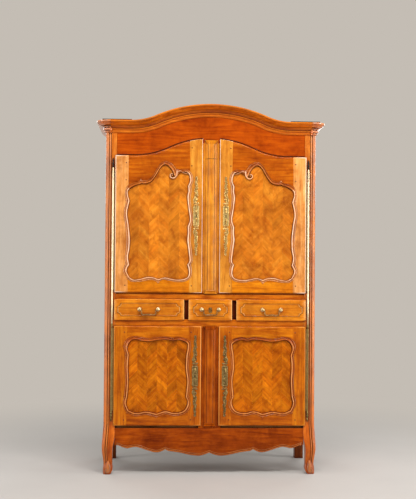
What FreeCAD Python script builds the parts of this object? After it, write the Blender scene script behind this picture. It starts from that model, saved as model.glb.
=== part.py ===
import FreeCAD, Part
import math
import os
import re
import Sketcher
from FreeCAD import Vector

# A tall four-door cupboard with a row of three drawers between the doors.
# Millimetres. X to the right, the front faces -Y, Z up.
# The origin is on the floor, under the middle of the bounding box.

doc = FreeCAD.newDocument("Cupboard")
sheet = doc.addObject("Spreadsheet::Sheet", "Sizes")

DRIVING = {
    # Whole piece
    "body_width": 1376,
    "body_depth": 590,
    "cornice_top": 2290,
    "cornice_rise": 110,
    "cornice_wave_half": 520,
    "cornice_crest_radius": 900,
    "cornice_height": 78,
    "cornice_reach": 60,
    "running_gap": 0.3,
    "overrun": 5,
    # Corner posts and legs
    "post_width": 74,
    "post_depth": 70,
    "post_round": 32,
    "rear_post_side": 60,
    "groove_radius": 3.5,
    "first_groove": 37,
    "second_groove": 23,
    "leg_top": 315,
    # Frieze, rails, apron and centre posts
    "frieze_thickness": 30,
    "door_top": 2066,
    "door_rise": 114,
    "door_wave_half": 500,
    "door_crest_radius": 640,
    "rail_depth": 40,
    "upper_rail_top": 1185,
    "lower_rail_bottom": 948,
    "shadow_groove_depth": 8,
    "shadow_groove_height": 12,
    "apron_top": 296,
    "apron_drop": 196,
    "apron_thickness": 28,
    "centre_post_width": 144,
    "centre_post_depth": 44,
    "centre_strip_width": 39,
    "centre_strip_proud": 8,
    "centre_bevel_width": 74,
    "centre_cap_height": 23.5,
    "centre_cap_width": 82,
    "centre_cap_neck": 59,
    "centre_cap_proud": 10.5,
    "centre_cap_lap": 10,
    "centre_cap_foot_lap": 17,
    "centre_cap_top_lap": 21,
    "centre_cap_floor_gap": 12,
    "centre_top_drop": 30,
    "frieze_top_drop": 12,
    # Doors
    "lip_thickness": 11.5,
    "lip_lap": 11,
    "centre_lap": 15,
    "lip_back_gap": 0.5,
    "tongue_thickness": 20.5,
    "door_clearance": 3,
    "door_end_lap": 10,
    "lower_door_bottom": 313,
    "tracery_thickness": 9,
    "moulding_proud": 6,
    "hinge_stile_width": 87,
    "lock_stile_width": 84,
    "panel_thickness": 12,
    "panel_margin": 50,
    "upper_panel_top": 2038,
    # Hinges
    "rod_radius": 3,
    "barrel_radius": 5.75,
    "barrel_bore_clearance": 0.05,
    "rod_setback": 24,
    "rod_stand_off": 2.25,
    "rod_top": 2048,
    "rod_bottom": 337,
    "finial_radius": 7.5,
    "finial_height": 64,
    "upper_barrel_top": 1905,
    "barrel_inset": 15,
    "lower_barrel_bottom": 410,
    "hinge_tab_thickness": 4,
    "hinge_leaf_height": 40,
    "hinge_leaf_width": 16,
    # Locks and escutcheons
    "upper_keyhole_height": 1675,
    "lower_keyhole_height": 634,
    "key_hole_radius": 5,
    "lock_line": 97,
    "lock_case_width": 60,
    "lock_case_height": 100,
    "lock_case_thickness": 14,
    "bolt_length": 44,
    "bolt_height": 24,
    "bolt_thickness": 8,
    "bolt_throw": 12,
    "bolt_setback": 5,
    "lock_case_inset": 1,
    "mortise_clearance": 1,
    "plate_width": 40,
    "plate_height": 116,
    "plate_thickness": 2,
    "upper_crest_height": 203,
    "upper_tail_height": 200,
    "lower_crest_height": 209,
    "lower_tail_height": 206,
    # Drawers and handles
    "drawer_lip_top": 1133,
    "drawer_lip_bottom": 995,
    "drawer_lap": 7,
    "drawer_post_lap": 10,
    "side_drawer_inner": 170,
    "middle_drawer_half": 141.5,
    "divider_setback": 14,
    "drawer_box_length": 440,
    "drawer_wall": 14,
    "drawer_bottom": 8,
    "drawer_side_gap": 1.5,
    "drawer_front_thickness": 30,
    "cartouche_width": 409,
    "middle_cartouche_width": 225,
    "cartouche_height": 86,
    "cartouche_line": 3,
    "cartouche_depth": 1.5,
    "handle_height": 1066,
    "side_handle_centre": 400,
    "side_handle_spacing": 120,
    "middle_handle_spacing": 112,
    "rose_radius": 13.5,
    "rose_thickness": 3,
    "stem_radius": 4,
    "eye_stand": 15,
    "knob_radius": 7,
    "bail_wire_radius": 2.5,
    "bail_pin_radius": 1.8,
    "bail_drop": 34,
    "bail_corner": 11,
    "bail_neck": 6.5,
    "bail_pin_length": 5,
    "shell_radius": 14.5,
    # Sides, back, floors and shelves
    "side_thickness": 28,
    "side_panel_thickness": 12,
    "side_top_rail": 125,
    "side_middle_top": 1180,
    "side_middle_bottom": 960,
    "side_bottom_rail": 230,
    "back_thickness": 14,
    "back_rail_thickness": 22,
    "back_inset": 8,
    "back_boards": 8,
    "floor_thickness": 20,
    "floor_setback": 21,
    "shelf_thickness": 20,
    "shelf_setback": 60,
    "upper_shelf": 1500,
    "top_shelf": 1820,
    "lower_shelf": 640,
    "bearer_height": 30,
    "bearer_lap": 14,
    "guide_height": 38,
    "roof_boards": 4,
    "roof_thickness": 15,
    "cap_thickness": 10,
    "cap_outer": 710,
    "cap_front_overhang": 20,
}

# Places that follow from the driving sizes
DERIVED = {
    "body_half": "body_width / 2",
    "rear_face": "(body_depth + cornice_reach) / 2",
    "front_face": "rear_face - body_depth",
    "post_inner": "body_half - post_width",
    "post_back": "front_face + post_depth",
    "post_top": "cornice_top - roof_thickness",
    "rear_post_front": "rear_face - rear_post_side",
    "rear_post_inner": "body_half - rear_post_side",
    "side_inner": "body_half - side_thickness",
    "frieze_back": "front_face + frieze_thickness",
    "rail_back": "front_face + rail_depth",
    "roof_front": "max(frieze_back; front_face + post_round)",
    "centre_half": "centre_post_width / 2",
    "centre_top": "door_top + door_rise - centre_top_drop",
    "upper_door_bottom": "upper_rail_top - door_end_lap",
    "lower_door_top": "lower_rail_bottom + door_end_lap",
    "upper_barrel_bottom": "upper_door_bottom + barrel_inset",
    "lower_barrel_top": "lower_door_top - barrel_inset",
    "lip_back": "front_face - lip_back_gap",
    "lip_front": "lip_back - lip_thickness",
    "tongue_back": "lip_back + tongue_thickness",
    "panel_front": "lip_front + tracery_thickness",
    "door_outer": "post_inner + lip_lap",
    "door_inner": "centre_half - centre_lap",
    "opening_top": "drawer_lip_top - drawer_lap",
    "opening_bottom": "drawer_lip_bottom + drawer_lap",
    "divider_outer": "side_drawer_inner + drawer_lap",
    "divider_inner": "middle_drawer_half - drawer_lap",
    "drawer_outer": "post_inner + drawer_post_lap",
    "hinge_line": "post_inner + rod_setback",
    "hinge_depth": "front_face - rod_stand_off - barrel_radius",
    "back_front": "rear_face - back_inset - back_rail_thickness",
    "floor_top": "apron_top + floor_thickness",
    "eye_depth": "lip_front - eye_stand",
    "lock_edge": "centre_half + door_clearance + lock_case_inset",
    "bolt_tip": "centre_half + door_clearance + bolt_setback",
}


def fill_sheet():
    row = 0
    for alias, value in DRIVING.items():
        row += 1
        sheet.set(f"A{row}", alias)
        sheet.set(f"B{row}", str(value))
        sheet.setAlias(f"B{row}", alias)
    for alias, formula in DERIVED.items():
        row += 1
        sheet.set(f"A{row}", alias)
        sheet.set(f"B{row}", "=" + formula)
        sheet.setAlias(f"B{row}", alias)
    doc.recompute()


def read_sheet():
    """All sizes of the sheet by name, for the shapes that are built from curves."""
    return {alias: float(sheet.get(alias)) for alias in [*DRIVING, *DERIVED]}


fill_sheet()
S = read_sheet()
NODES = []


def bound(text):
    """The expression with every size name pointed at the sheet."""
    return re.sub(r"\b[a-z][a-z_]+\b", r"Sizes.\g<0>", text)


def keep(label, thing):
    """Name a finished sub-part and list it for writing."""
    thing.Label = label
    NODES.append(thing)
    return thing


def board(name, x_from, x_to, y_from, y_to, z_from, z_to):
    """A straight board between six planes, each an expression of the sheet."""
    box = doc.addObject("Part::Box", name)
    box.setExpression("Length", bound(f"({x_to}) - ({x_from})"))
    box.setExpression("Width", bound(f"({y_to}) - ({y_from})"))
    box.setExpression("Height", bound(f"({z_to}) - ({z_from})"))
    box.setExpression("Placement.Base.x", bound(x_from))
    box.setExpression("Placement.Base.y", bound(y_from))
    box.setExpression("Placement.Base.z", bound(z_from))
    return box


def board_pair(name, inner, outer, *planes):
    """The same board on the left and on the right."""
    left = board(name + "_left", f"-({outer})", f"-({inner})", *planes)
    right = board(name + "_right", inner, outer, *planes)
    return [left, right]


def compound(name, members):
    thing = doc.addObject("Part::Compound", name)
    thing.Links = members
    return thing


def cut(name, base, tool):
    thing = doc.addObject("Part::Cut", name)
    thing.Base = base
    thing.Tool = tool
    return thing


def shaped(label, *solids):
    """A sub-part whose shape is built from curves."""
    feature = doc.addObject("Part::Feature", label)
    feature.Shape = solids[0] if len(solids) == 1 else Part.Compound(list(solids))
    return keep(label, feature)


def block(x_from, x_to, y_from, y_to, z_from, z_to):
    corner = Vector(x_from, y_from, z_from)
    return Part.makeBox(x_to - x_from, y_to - y_from, z_to - z_from, corner)


def mirrored(shape):
    """The same shape on the other side of the middle plane."""
    return shape.mirror(Vector(0, 0, 0), Vector(1, 0, 0))


def prism(wire, y_from, y_to):
    """A flat outline in the XZ plane given thickness between two depths."""
    face = Part.Face(wire)
    face.translate(Vector(0, y_from, 0))
    return face.extrude(Vector(0, y_to - y_from, 0))


def wave_edges(flat, rise, half, crest, drop):
    """Hollow arc, crest arc, hollow arc, all tangent, moved down along their normals."""
    hollow = (half**2 + rise**2) / (2 * rise) - crest
    crest_centre = Vector(0, 0, flat + rise - crest)
    hollow_centre = Vector(half, 0, flat + hollow)
    toward = (hollow_centre - crest_centre).normalize()
    joint = crest_centre + toward * (crest - drop)
    start = hollow_centre - Vector(0, 0, hollow + drop)
    between = (Vector(0, 0, -1) - toward).normalize()
    middle = hollow_centre + between * (hollow + drop)
    top = crest_centre + Vector(0, 0, crest - drop)
    left = [Vector(-point.x, 0, point.z) for point in (start, middle, joint)]
    return [
        Part.Arc(*left).toShape(),
        Part.Arc(left[2], top, joint).toShape(),
        Part.Arc(joint, middle, start).toShape(),
    ]


def under_wave(edges, half, bottom, y_from, y_to):
    """Everything under a wave line, out to both sides and down to the bottom."""
    start = edges[0].Vertexes[0].Point
    end = Vector(-start.x, 0, start.z)
    corners = [end, Vector(half, 0, start.z), Vector(half, 0, bottom)]
    corners += [Vector(-half, 0, bottom), Vector(-half, 0, start.z), start]
    lines = [Part.makeLine(a, b) for a, b in zip(corners, corners[1:])]
    return prism(Part.Wire(edges + lines), y_from, y_to)


def door_wave(drop):
    return wave_edges(
        S["door_top"], S["door_rise"], S["door_wave_half"], S["door_crest_radius"], drop
    )


def cornice_wave(drop):
    return wave_edges(
        S["cornice_top"],
        S["cornice_rise"],
        S["cornice_wave_half"],
        S["cornice_crest_radius"],
        drop,
    )


def spline(points):
    curve = Part.BSplineCurve()
    curve.interpolate(points)
    return curve.toShape()


def share_wire(spans, x_start, x_size, z_start, z_size):
    """A closed outline of smooth spans that meet in cusps, given in shares of a field."""
    edges = []
    for span in spans:
        points = [Vector(x_start + a * x_size, 0, z_start + b * z_size) for a, b in span]
        edges.append(spline(points))
    return Part.Wire(edges)


def profile_pad(label, role, outline, start, length):
    """A body padded from a closed sketch, whose corners are expressions of the sheet."""
    body = doc.addObject("PartDesign::Body", label)
    sketch = body.newObject("Sketcher::SketchObject", label + "_profile")
    plane = [part for part in body.Origin.OriginFeatures if part.Role == role][0]
    sketch.AttachmentSupport = [(plane, "")]
    sketch.MapMode = "FlatFace"
    sketch.setExpression("AttachmentOffset.Base.z", bound(start))
    corners = [Vector(index, index % 2 + index**2, 0) for index in range(len(outline))]
    for index, corner in enumerate(corners):
        sketch.addGeometry(Part.LineSegment(corner, corners[(index + 1) % len(corners)]))
    for index, (across, along) in enumerate(outline):
        following = (index + 1) % len(outline)
        sketch.addConstraint(Sketcher.Constraint("Coincident", index, 2, following, 1))
    for index, (across, along) in enumerate(outline):
        for kind, text in (("DistanceX", across), ("DistanceY", along)):
            number = sketch.addConstraint(Sketcher.Constraint(kind, -1, 1, index, 1, 1))
            sketch.setExpression(f"Constraints[{number}]", bound(text))
    pad = body.newObject("PartDesign::Pad", label + "_pad")
    pad.Profile = sketch
    pad.setExpression("Length", bound(length))
    body.Tip = pad
    doc.recompute()
    return body


# Leg sections from the top down, in shares of the leg's height and the post's width:
# height, inner edge, outer edge beyond the post, front beyond the post, back of the leg.
LEG_SHARES = (
    (1.00, 0.00, 0.00, 0.00, 0.94),
    (0.76, 0.00, 0.07, 0.06, 0.94),
    (0.51, 0.18, 0.12, 0.13, 0.90),
    (0.22, 0.20, -0.03, -0.04, 0.74),
    (0.09, 0.27, -0.03, 0.10, 0.66),
    (0.00, 0.34, -0.03, 0.16, 0.55),
)


def post_section(inner, outer, front, back, height):
    """A post's outline, round at its outer front corner, on the left side."""
    radius = S["post_round"]
    turn = radius * (1 - math.sqrt(0.5))
    a = Vector(-inner, back, height)
    b = Vector(-inner, front, height)
    c = Vector(-outer + radius, front, height)
    between = Vector(-outer + turn, front + turn, height)
    d = Vector(-outer, front + radius, height)
    e = Vector(-outer, back, height)
    arc = Part.Arc(c, between, d).toShape()
    sides = [Part.makeLine(p, q) for p, q in ((a, b), (b, c), (d, e), (e, a))]
    return Part.Wire([sides[0], sides[1], arc, sides[2], sides[3]])


def front_post():
    """The left corner post: a reeded upright that runs down into a curved leg."""
    inner, outer = S["post_inner"], S["body_half"]
    front, back = S["front_face"], S["post_back"]
    section = post_section(inner, outer, front, back, S["leg_top"])
    rise = Vector(0, 0, S["post_top"] - S["leg_top"])
    post = Part.Face(section).extrude(rise)
    centre = Vector(-outer + S["post_round"], front + S["post_round"], S["leg_top"])
    grooves = []
    for reach in (S["first_groove"], S["second_groove"]):
        inset = max(S["post_round"] - reach, 0)
        depth = S["post_round"] - math.sqrt(S["post_round"] ** 2 - inset**2)
        for x, y in ((reach, depth), (depth, reach)):
            place = Vector(-outer + x, front + y, S["leg_top"])
            grooves.append(Part.makeCylinder(S["groove_radius"], rise.z, place))
    post = post.cut(grooves)
    width = S["post_width"]
    sections = []
    for height, inward, outward, forward, rear in LEG_SHARES:
        sections.append(
            post_section(
                inner + inward * width,
                outer + outward * width,
                front - forward * width,
                front + rear * width,
                height * S["leg_top"],
            )
        )
    leg = Part.makeLoft(sections, True, False)
    outside = block(-outer - width, -inner, front - width, back + width, 0, S["leg_top"])
    return post.fuse(leg.common(outside)).removeSplitter()


def corner_posts():
    post = front_post()
    shaped("post_front_left", post)
    shaped("post_front_right", mirrored(post))
    rear = board_pair(
        "rear_post", "rear_post_inner", "body_half",
        "rear_post_front", "rear_face", "0", "post_top",
    )
    keep("posts_rear", compound("posts_rear", rear))


def frieze():
    """The rail over the doors, with a wave on its top and a deeper one underneath."""
    front, back = S["front_face"], S["frieze_back"]
    far = S["overrun"]
    bottom = S["centre_top"]
    rail = under_wave(
        cornice_wave(S["frieze_top_drop"]), S["body_half"], S["upper_rail_top"], front, back
    )
    opening = under_wave(
        door_wave(S["lip_lap"]), S["body_half"], S["upper_rail_top"] - far,
        front - far, back + far,
    )
    half = S["centre_half"]
    kept = block(-half, half, front - far, back + far, bottom, bottom + S["cornice_top"])
    inner = S["post_inner"]
    between = block(-inner, inner, front, back, S["upper_rail_top"], 2 * S["cornice_top"])
    opening = opening.cut(kept)
    below = block(-half, half, front - far, back + far, S["upper_rail_top"] - far, bottom)
    shaped("frieze_rail", rail.common(between).cut([opening, below]).removeSplitter())


# Cornice section in shares of its reach (outward) and its height (upward from below).
CORNICE_LINE_SHARES = ((0.0, 1.0), (1.0, 1.0), (1.0, 0.88))
CORNICE_ARC_SHARES = (
    ((1.0, 0.88), (0.97, 0.84), (0.92, 0.83)),
    ((0.92, 0.83), (0.80, 0.64), (0.52, 0.62)),
    ((0.52, 0.62), (0.30, 0.56), (0.19, 0.40)),
    ((0.19, 0.40), (0.26, 0.32), (0.19, 0.24)),
    ((0.19, 0.24), (0.14, 0.08), (0.0, 0.0)),
)


def cornice_profile(x, back):
    """The moulding's section in a YZ plane, its back on the plane y = back."""
    top, height, reach = S["cornice_top"], S["cornice_height"], S["cornice_reach"]

    def place(share):
        return Vector(x, back - share[0] * reach, top - height + share[1] * height)

    line = [place(share) for share in CORNICE_LINE_SHARES]
    edges = [Part.makeLine(a, b) for a, b in zip(line, line[1:])]
    edges += [Part.Arc(*[place(share) for share in arc]).toShape() for arc in CORNICE_ARC_SHARES]
    edges.append(Part.makeLine(place(CORNICE_ARC_SHARES[-1][-1]), line[0]))
    return Part.Wire(edges)


def cornice():
    """The front moulding follows the wave; each side has a round corner and a straight run."""
    turn = S["post_round"]
    end = S["body_half"] - turn
    edges = cornice_wave(0)
    first = Vector(-end, 0, S["cornice_top"])
    start = edges[0].Vertexes[0].Point
    stop = Vector(-start.x, 0, start.z)
    path = [Part.makeLine(first, start)] + edges + [Part.makeLine(stop, Vector(end, 0, start.z))]
    spine = Part.Wire(path)
    spine.translate(Vector(0, S["front_face"], 0))
    front = spine.makePipeShell([cornice_profile(-end, S["front_face"])], True, False)
    shaped("cornice_front", front)

    face = Part.Face(cornice_profile(end, S["front_face"]))
    axis = Vector(end, S["front_face"] + turn, 0)
    corner = face.revolve(axis, Vector(0, 0, 1), 90)
    side_face = face.copy()
    side_face.rotate(axis, Vector(0, 0, 1), 90)
    run = side_face.extrude(Vector(0, S["rear_face"] - S["front_face"] - turn, 0))
    side = corner.fuse(run).removeSplitter()
    shaped("cornice_sides", mirrored(side), side)


def rails():
    """The two rails above and below the drawers; the upper one has a shadow groove."""
    upper = (
        ("front_face", "opening_top"),
        ("rail_back", "opening_top"),
        ("rail_back", "upper_rail_top"),
        ("front_face", "upper_rail_top"),
        ("front_face", "upper_door_bottom"),
        ("front_face + shadow_groove_depth", "upper_door_bottom"),
        ("front_face + shadow_groove_depth", "upper_door_bottom - shadow_groove_height"),
        ("front_face", "upper_door_bottom - shadow_groove_height"),
    )
    lower = (
        ("front_face", "lower_rail_bottom"),
        ("rail_back", "lower_rail_bottom"),
        ("rail_back", "opening_bottom"),
        ("front_face", "opening_bottom"),
    )
    for label, outline in (("drawer_rail_upper", upper), ("drawer_rail_lower", lower)):
        keep(label, profile_pad(label, "YZ_Plane", outline, "-post_inner", "2 * post_inner"))
    dividers = board_pair(
        "divider", "divider_inner", "divider_outer",
        "front_face + divider_setback", "back_front", "opening_bottom", "opening_top",
    )
    keep("drawer_dividers", compound("drawer_dividers", dividers))


def centre_cap(label, end, way):
    """A small moulding across the end of a middle post's strip, wider at its outer end."""
    wide, neck = "centre_cap_width / 2", "centre_cap_neck / 2"
    inner = f"({end}) {way} centre_cap_height"
    outline = ((f"-{wide}", end), (wide, end), (neck, inner), (f"-{neck}", inner))
    return profile_pad(label, "XZ_Plane", outline, "-front_face", "centre_cap_proud")


def centre_post(label, bottom, top, bolt_height, low_end, high_end):
    """A post between two doors: a raised strip with bevels, two caps, and two mortises."""
    outline = (
        ("-centre_half", "front_face"),
        ("-centre_bevel_width / 2", "front_face"),
        ("-centre_strip_width / 2", "front_face - centre_strip_proud"),
        ("centre_strip_width / 2", "front_face - centre_strip_proud"),
        ("centre_bevel_width / 2", "front_face"),
        ("centre_half", "front_face"),
        ("centre_half", "front_face + centre_post_depth"),
        ("-centre_half", "front_face + centre_post_depth"),
    )
    shaft = profile_pad(label + "_body", "XY_Plane", outline, bottom, f"({top}) - ({bottom})")
    post = doc.addObject("Part::MultiFuse", label + "_with_caps")
    post.Shapes = [
        shaft,
        centre_cap(label + "_foot", low_end, "+"),
        centre_cap(label + "_head", high_end, "-"),
    ]
    cavities = board_pair(
        label + "_mortise",
        "bolt_tip - bolt_throw - mortise_clearance", "centre_half + overrun",
        "tongue_back + (lock_case_thickness - bolt_thickness) / 2 - mortise_clearance",
        "tongue_back + (lock_case_thickness + bolt_thickness) / 2 + mortise_clearance",
        f"{bolt_height} - bolt_height / 2 - mortise_clearance",
        f"{bolt_height} + bolt_height / 2 + mortise_clearance",
    )
    keep(label, cut(label, post, compound(label + "_mortises", cavities)))


# Lower edge of the apron from the left post to the middle: shares of the half width
# and of the drop from its top.
APRON_SHARES = (
    ((0.0, 0.44), (0.03, 0.44), (0.055, 0.415), (0.085, 0.37), (0.135, 0.33)),
    ((0.135, 0.33), (0.175, 0.36), (0.225, 0.38), (0.28, 0.34), (0.355, 0.26), (0.42, 0.205),
     (0.465, 0.205), (0.505, 0.25), (0.535, 0.30)),
    ((0.535, 0.30), (0.57, 0.245), (0.615, 0.225), (0.69, 0.19), (0.765, 0.135),
     (0.83, 0.10), (0.895, 0.09), (0.95, 0.13), (1.0, 0.19)),
)


def apron():
    half, drop = S["post_inner"], S["apron_drop"]
    low = S["apron_top"] - drop
    edges = []
    for span in APRON_SHARES:
        edges.append(spline([Vector((a - 1) * half, 0, low + b * drop) for a, b in span]))
    for span in reversed(APRON_SHARES):
        edges.append(
            spline([Vector((1 - a) * half, 0, low + b * drop) for a, b in reversed(span)])
        )
    first, last = APRON_SHARES[0][0], S["apron_top"]
    height = low + first[1] * drop
    corners = [Vector(half, 0, height), Vector(half, 0, last)]
    corners += [Vector(-half, 0, last), Vector(-half, 0, height)]
    edges += [Part.makeLine(a, b) for a, b in zip(corners, corners[1:])]
    front = S["front_face"]
    shaped("apron", prism(Part.Wire(edges), front, front + S["apron_thickness"]))


def sides_and_back():
    rails_of_side = []
    panels = []
    levels = (
        ("top", "post_top - side_top_rail", "post_top"),
        ("middle", "side_middle_bottom", "side_middle_top"),
        ("bottom", "side_bottom_rail", "floor_top"),
    )
    depth = ("post_back", "rear_post_front")
    for name, low, high in levels:
        rails_of_side += board_pair(
            f"side_rail_{name}", "side_inner", "body_half", *depth, low, high
        )
    fields = (("upper", levels[1][2], levels[0][1]), ("lower", levels[2][2], levels[1][1]))
    middle = "(side_inner + body_half) / 2"
    for name, low, high in fields:
        panels += board_pair(
            f"side_panel_{name}", f"{middle} - side_panel_thickness / 2",
            f"{middle} + side_panel_thickness / 2", *depth, low, high,
        )
    keep("side_rails", compound("side_rails", rails_of_side))
    keep("side_panels", compound("side_panels", panels))

    members = []
    for name, low, high in levels:
        members.append(
            board(f"back_rail_{name}", "-rear_post_inner", "rear_post_inner",
                  "back_front", "back_front + back_rail_thickness", low, high)
        )
    count = int(S["back_boards"])
    width = "2 * rear_post_inner / back_boards"
    for name, low, high in fields:
        for index in range(count):
            members.append(
                board(f"back_board_{name}_{index}",
                      f"-rear_post_inner + {index} * {width}",
                      f"-rear_post_inner + {index + 1} * {width}",
                      "back_front", "back_front + back_thickness", low, high)
            )
    keep("back", compound("back", members))


def floors_and_shelves():
    across = ("-post_inner", "post_inner")
    bottom = board("floor_bottom", *across, "front_face + floor_setback", "back_front",
                   "apron_top", "floor_top")
    notch = board("floor_notch", "-centre_half", "centre_half", "front_face",
                  "front_face + centre_post_depth", "apron_top - overrun", "floor_top + overrun")
    floors = [
        cut("floor_notched", bottom, notch),
        board("floor_drawers", *across, "rail_back", "back_front",
              "opening_bottom - floor_thickness", "opening_bottom"),
        board("floor_upper", *across, "rail_back", "back_front",
              "upper_rail_top - floor_thickness", "upper_rail_top"),
    ]
    keep("floor_boards", compound("floor_boards", floors))
    levels = ("lower_shelf", "upper_shelf", "top_shelf")
    shelves = [
        board("shelf_" + level, *across, "front_face + shelf_setback", "back_front",
              level, level + " + shelf_thickness")
        for level in levels
    ]
    keep("shelves", compound("shelves", shelves))
    under = [*levels, "apron_top", "opening_bottom - floor_thickness",
             "upper_rail_top - floor_thickness"]
    bearers = []
    for index, level in enumerate(under):
        bearers += board_pair(f"bearer_{index}", "post_inner - bearer_lap", "side_inner",
                              "post_back", "rear_post_front",
                              f"{level} - bearer_height", level)
    bearers += board_pair("drawer_guide", "post_inner", "side_inner", "post_back",
                          "rear_post_front", "opening_bottom", "opening_bottom + guide_height")
    keep("bearers", compound("bearers", bearers))


def roof():
    count = int(S["roof_boards"])
    depth = "(rear_face - roof_front) / roof_boards"
    boards = [
        board(f"roof_board_{index}", "-body_half", "body_half",
              f"roof_front + {index} * {depth}", f"roof_front + {index + 1} * {depth}",
              "post_top", "post_top + roof_thickness")
        for index in range(count)
    ]
    boards += board_pair("roof_cap", "cornice_wave_half", "cap_outer",
                         "front_face - cap_front_overhang", "rear_face",
                         "cornice_top", "cornice_top + cap_thickness")
    keep("roof_boards", compound("roof_boards", boards))


# Finial outline from its base up: shares of the finial's radius and height.
FINIAL_SHARES = (
    (0.77, 0.0), (1.0, 0.05), (1.0, 0.12), (0.6, 0.18), (0.6, 0.22), (1.0, 0.34),
    (0.95, 0.48), (0.5, 0.6), (0.85, 0.68), (0.85, 0.75), (0.35, 0.84), (0.45, 0.92),
    (0.2, 1.0),
)


def hinge_rod():
    """The left rod: thin inside the doors' barrels, thick between, finials at both ends."""
    thin, thick = S["rod_radius"], S["barrel_radius"]
    gap = S["running_gap"]
    radius, height = S["finial_radius"], S["finial_height"]
    bottom_joint = S["rod_bottom"] + height
    top_joint = S["rod_top"] - height
    outline = [(0, S["rod_bottom"])]
    outline += [(a * radius, bottom_joint - b * height) for a, b in reversed(FINIAL_SHARES)]
    outline += [
        (thick, S["lower_barrel_bottom"] - gap),
        (thin, S["lower_barrel_bottom"] - gap),
        (thin, S["lower_barrel_top"] + gap),
        (thick, S["lower_barrel_top"] + gap),
        (thick, S["upper_barrel_bottom"] - gap),
        (thin, S["upper_barrel_bottom"] - gap),
        (thin, S["upper_barrel_top"] + gap),
        (thick, S["upper_barrel_top"] + gap),
    ]
    outline += [(a * radius, top_joint + b * height) for a, b in FINIAL_SHARES]
    outline += [(0, S["rod_top"])]
    x, y = -S["hinge_line"], S["hinge_depth"]
    points = [Vector(x + a, y, b) for a, b in outline]
    wire = Part.makePolygon(points + [points[0]])
    rod = Part.Face(wire).revolve(points[0], Vector(0, 0, 1), 360)
    half, leaf = S["hinge_leaf_width"] / 2, S["hinge_leaf_height"]
    middle = (S["lower_barrel_top"] + S["upper_barrel_bottom"]) / 2
    top = (S["upper_barrel_top"] + top_joint) / 2
    for z in (middle, top):
        plate = block(x - half, x + half, y, S["front_face"], z - leaf / 2, z + leaf / 2)
        rod = rod.fuse(plate)
    return rod.removeSplitter()


def hinge_rods():
    rod = hinge_rod()
    shaped("hinge_rods", rod, mirrored(rod))


# Carved edge of an upper door's panel, in shares of the door's width from the hinge
# side and of its height at the hinge side. Each row is one smooth span between cusps.
UPPER_INNER_SHARES = (
    ((0.175, 0.110), (0.230, 0.095), (0.300, 0.102), (0.370, 0.116), (0.440, 0.113),
     (0.500, 0.101)),
    ((0.500, 0.101), (0.585, 0.112), (0.640, 0.104), (0.730, 0.097), (0.820, 0.109),
     (0.845, 0.139), (0.838, 0.176), (0.826, 0.203)),
    ((0.826, 0.203), (0.850, 0.232), (0.838, 0.308), (0.822, 0.382), (0.829, 0.438),
     (0.826, 0.483)),
    ((0.826, 0.483), (0.852, 0.533), (0.835, 0.615), (0.820, 0.697), (0.831, 0.740),
     (0.827, 0.778)),
    ((0.827, 0.778), (0.850, 0.817), (0.835, 0.866), (0.787, 0.880), (0.727, 0.870),
     (0.676, 0.833)),
    ((0.676, 0.833), (0.657, 0.875), (0.616, 0.915), (0.567, 0.930), (0.519, 0.908),
     (0.482, 0.868), (0.440, 0.825), (0.405, 0.802), (0.352, 0.790), (0.300, 0.790)),
    ((0.300, 0.790), (0.230, 0.776), (0.160, 0.745), (0.150, 0.716), (0.173, 0.666)),
    ((0.173, 0.666), (0.146, 0.578), (0.164, 0.496), (0.180, 0.396), (0.176, 0.316),
     (0.160, 0.256), (0.174, 0.199)),
    ((0.174, 0.199), (0.146, 0.157), (0.175, 0.110)),
)
UPPER_OUTER_SHARES = (
    ((0.150, 0.098), (0.185, 0.079), (0.243, 0.075), (0.326, 0.080), (0.390, 0.089),
     (0.447, 0.089), (0.500, 0.071)),
    ((0.500, 0.071), (0.553, 0.093), (0.640, 0.084), (0.730, 0.076), (0.815, 0.083),
     (0.868, 0.107), (0.886, 0.139), (0.884, 0.185), (0.871, 0.207)),
    ((0.871, 0.207), (0.893, 0.233), (0.884, 0.308), (0.871, 0.382), (0.875, 0.438),
     (0.873, 0.475)),
    ((0.873, 0.475), (0.894, 0.534), (0.875, 0.615), (0.866, 0.697), (0.877, 0.740),
     (0.873, 0.778)),
    ((0.873, 0.778), (0.894, 0.825), (0.871, 0.878), (0.810, 0.903), (0.748, 0.899),
     (0.700, 0.903)),
    ((0.700, 0.903), (0.669, 0.933), (0.623, 0.953), (0.572, 0.963), (0.523, 0.948),
     (0.481, 0.910), (0.438, 0.863), (0.396, 0.832), (0.350, 0.818), (0.294, 0.823)),
    ((0.294, 0.823), (0.252, 0.805), (0.188, 0.796), (0.136, 0.773), (0.113, 0.726),
     (0.127, 0.666)),
    ((0.127, 0.666), (0.102, 0.578), (0.118, 0.496), (0.134, 0.396), (0.130, 0.316),
     (0.116, 0.256), (0.129, 0.213)),
    ((0.129, 0.213), (0.100, 0.157), (0.150, 0.098)),
)
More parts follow.
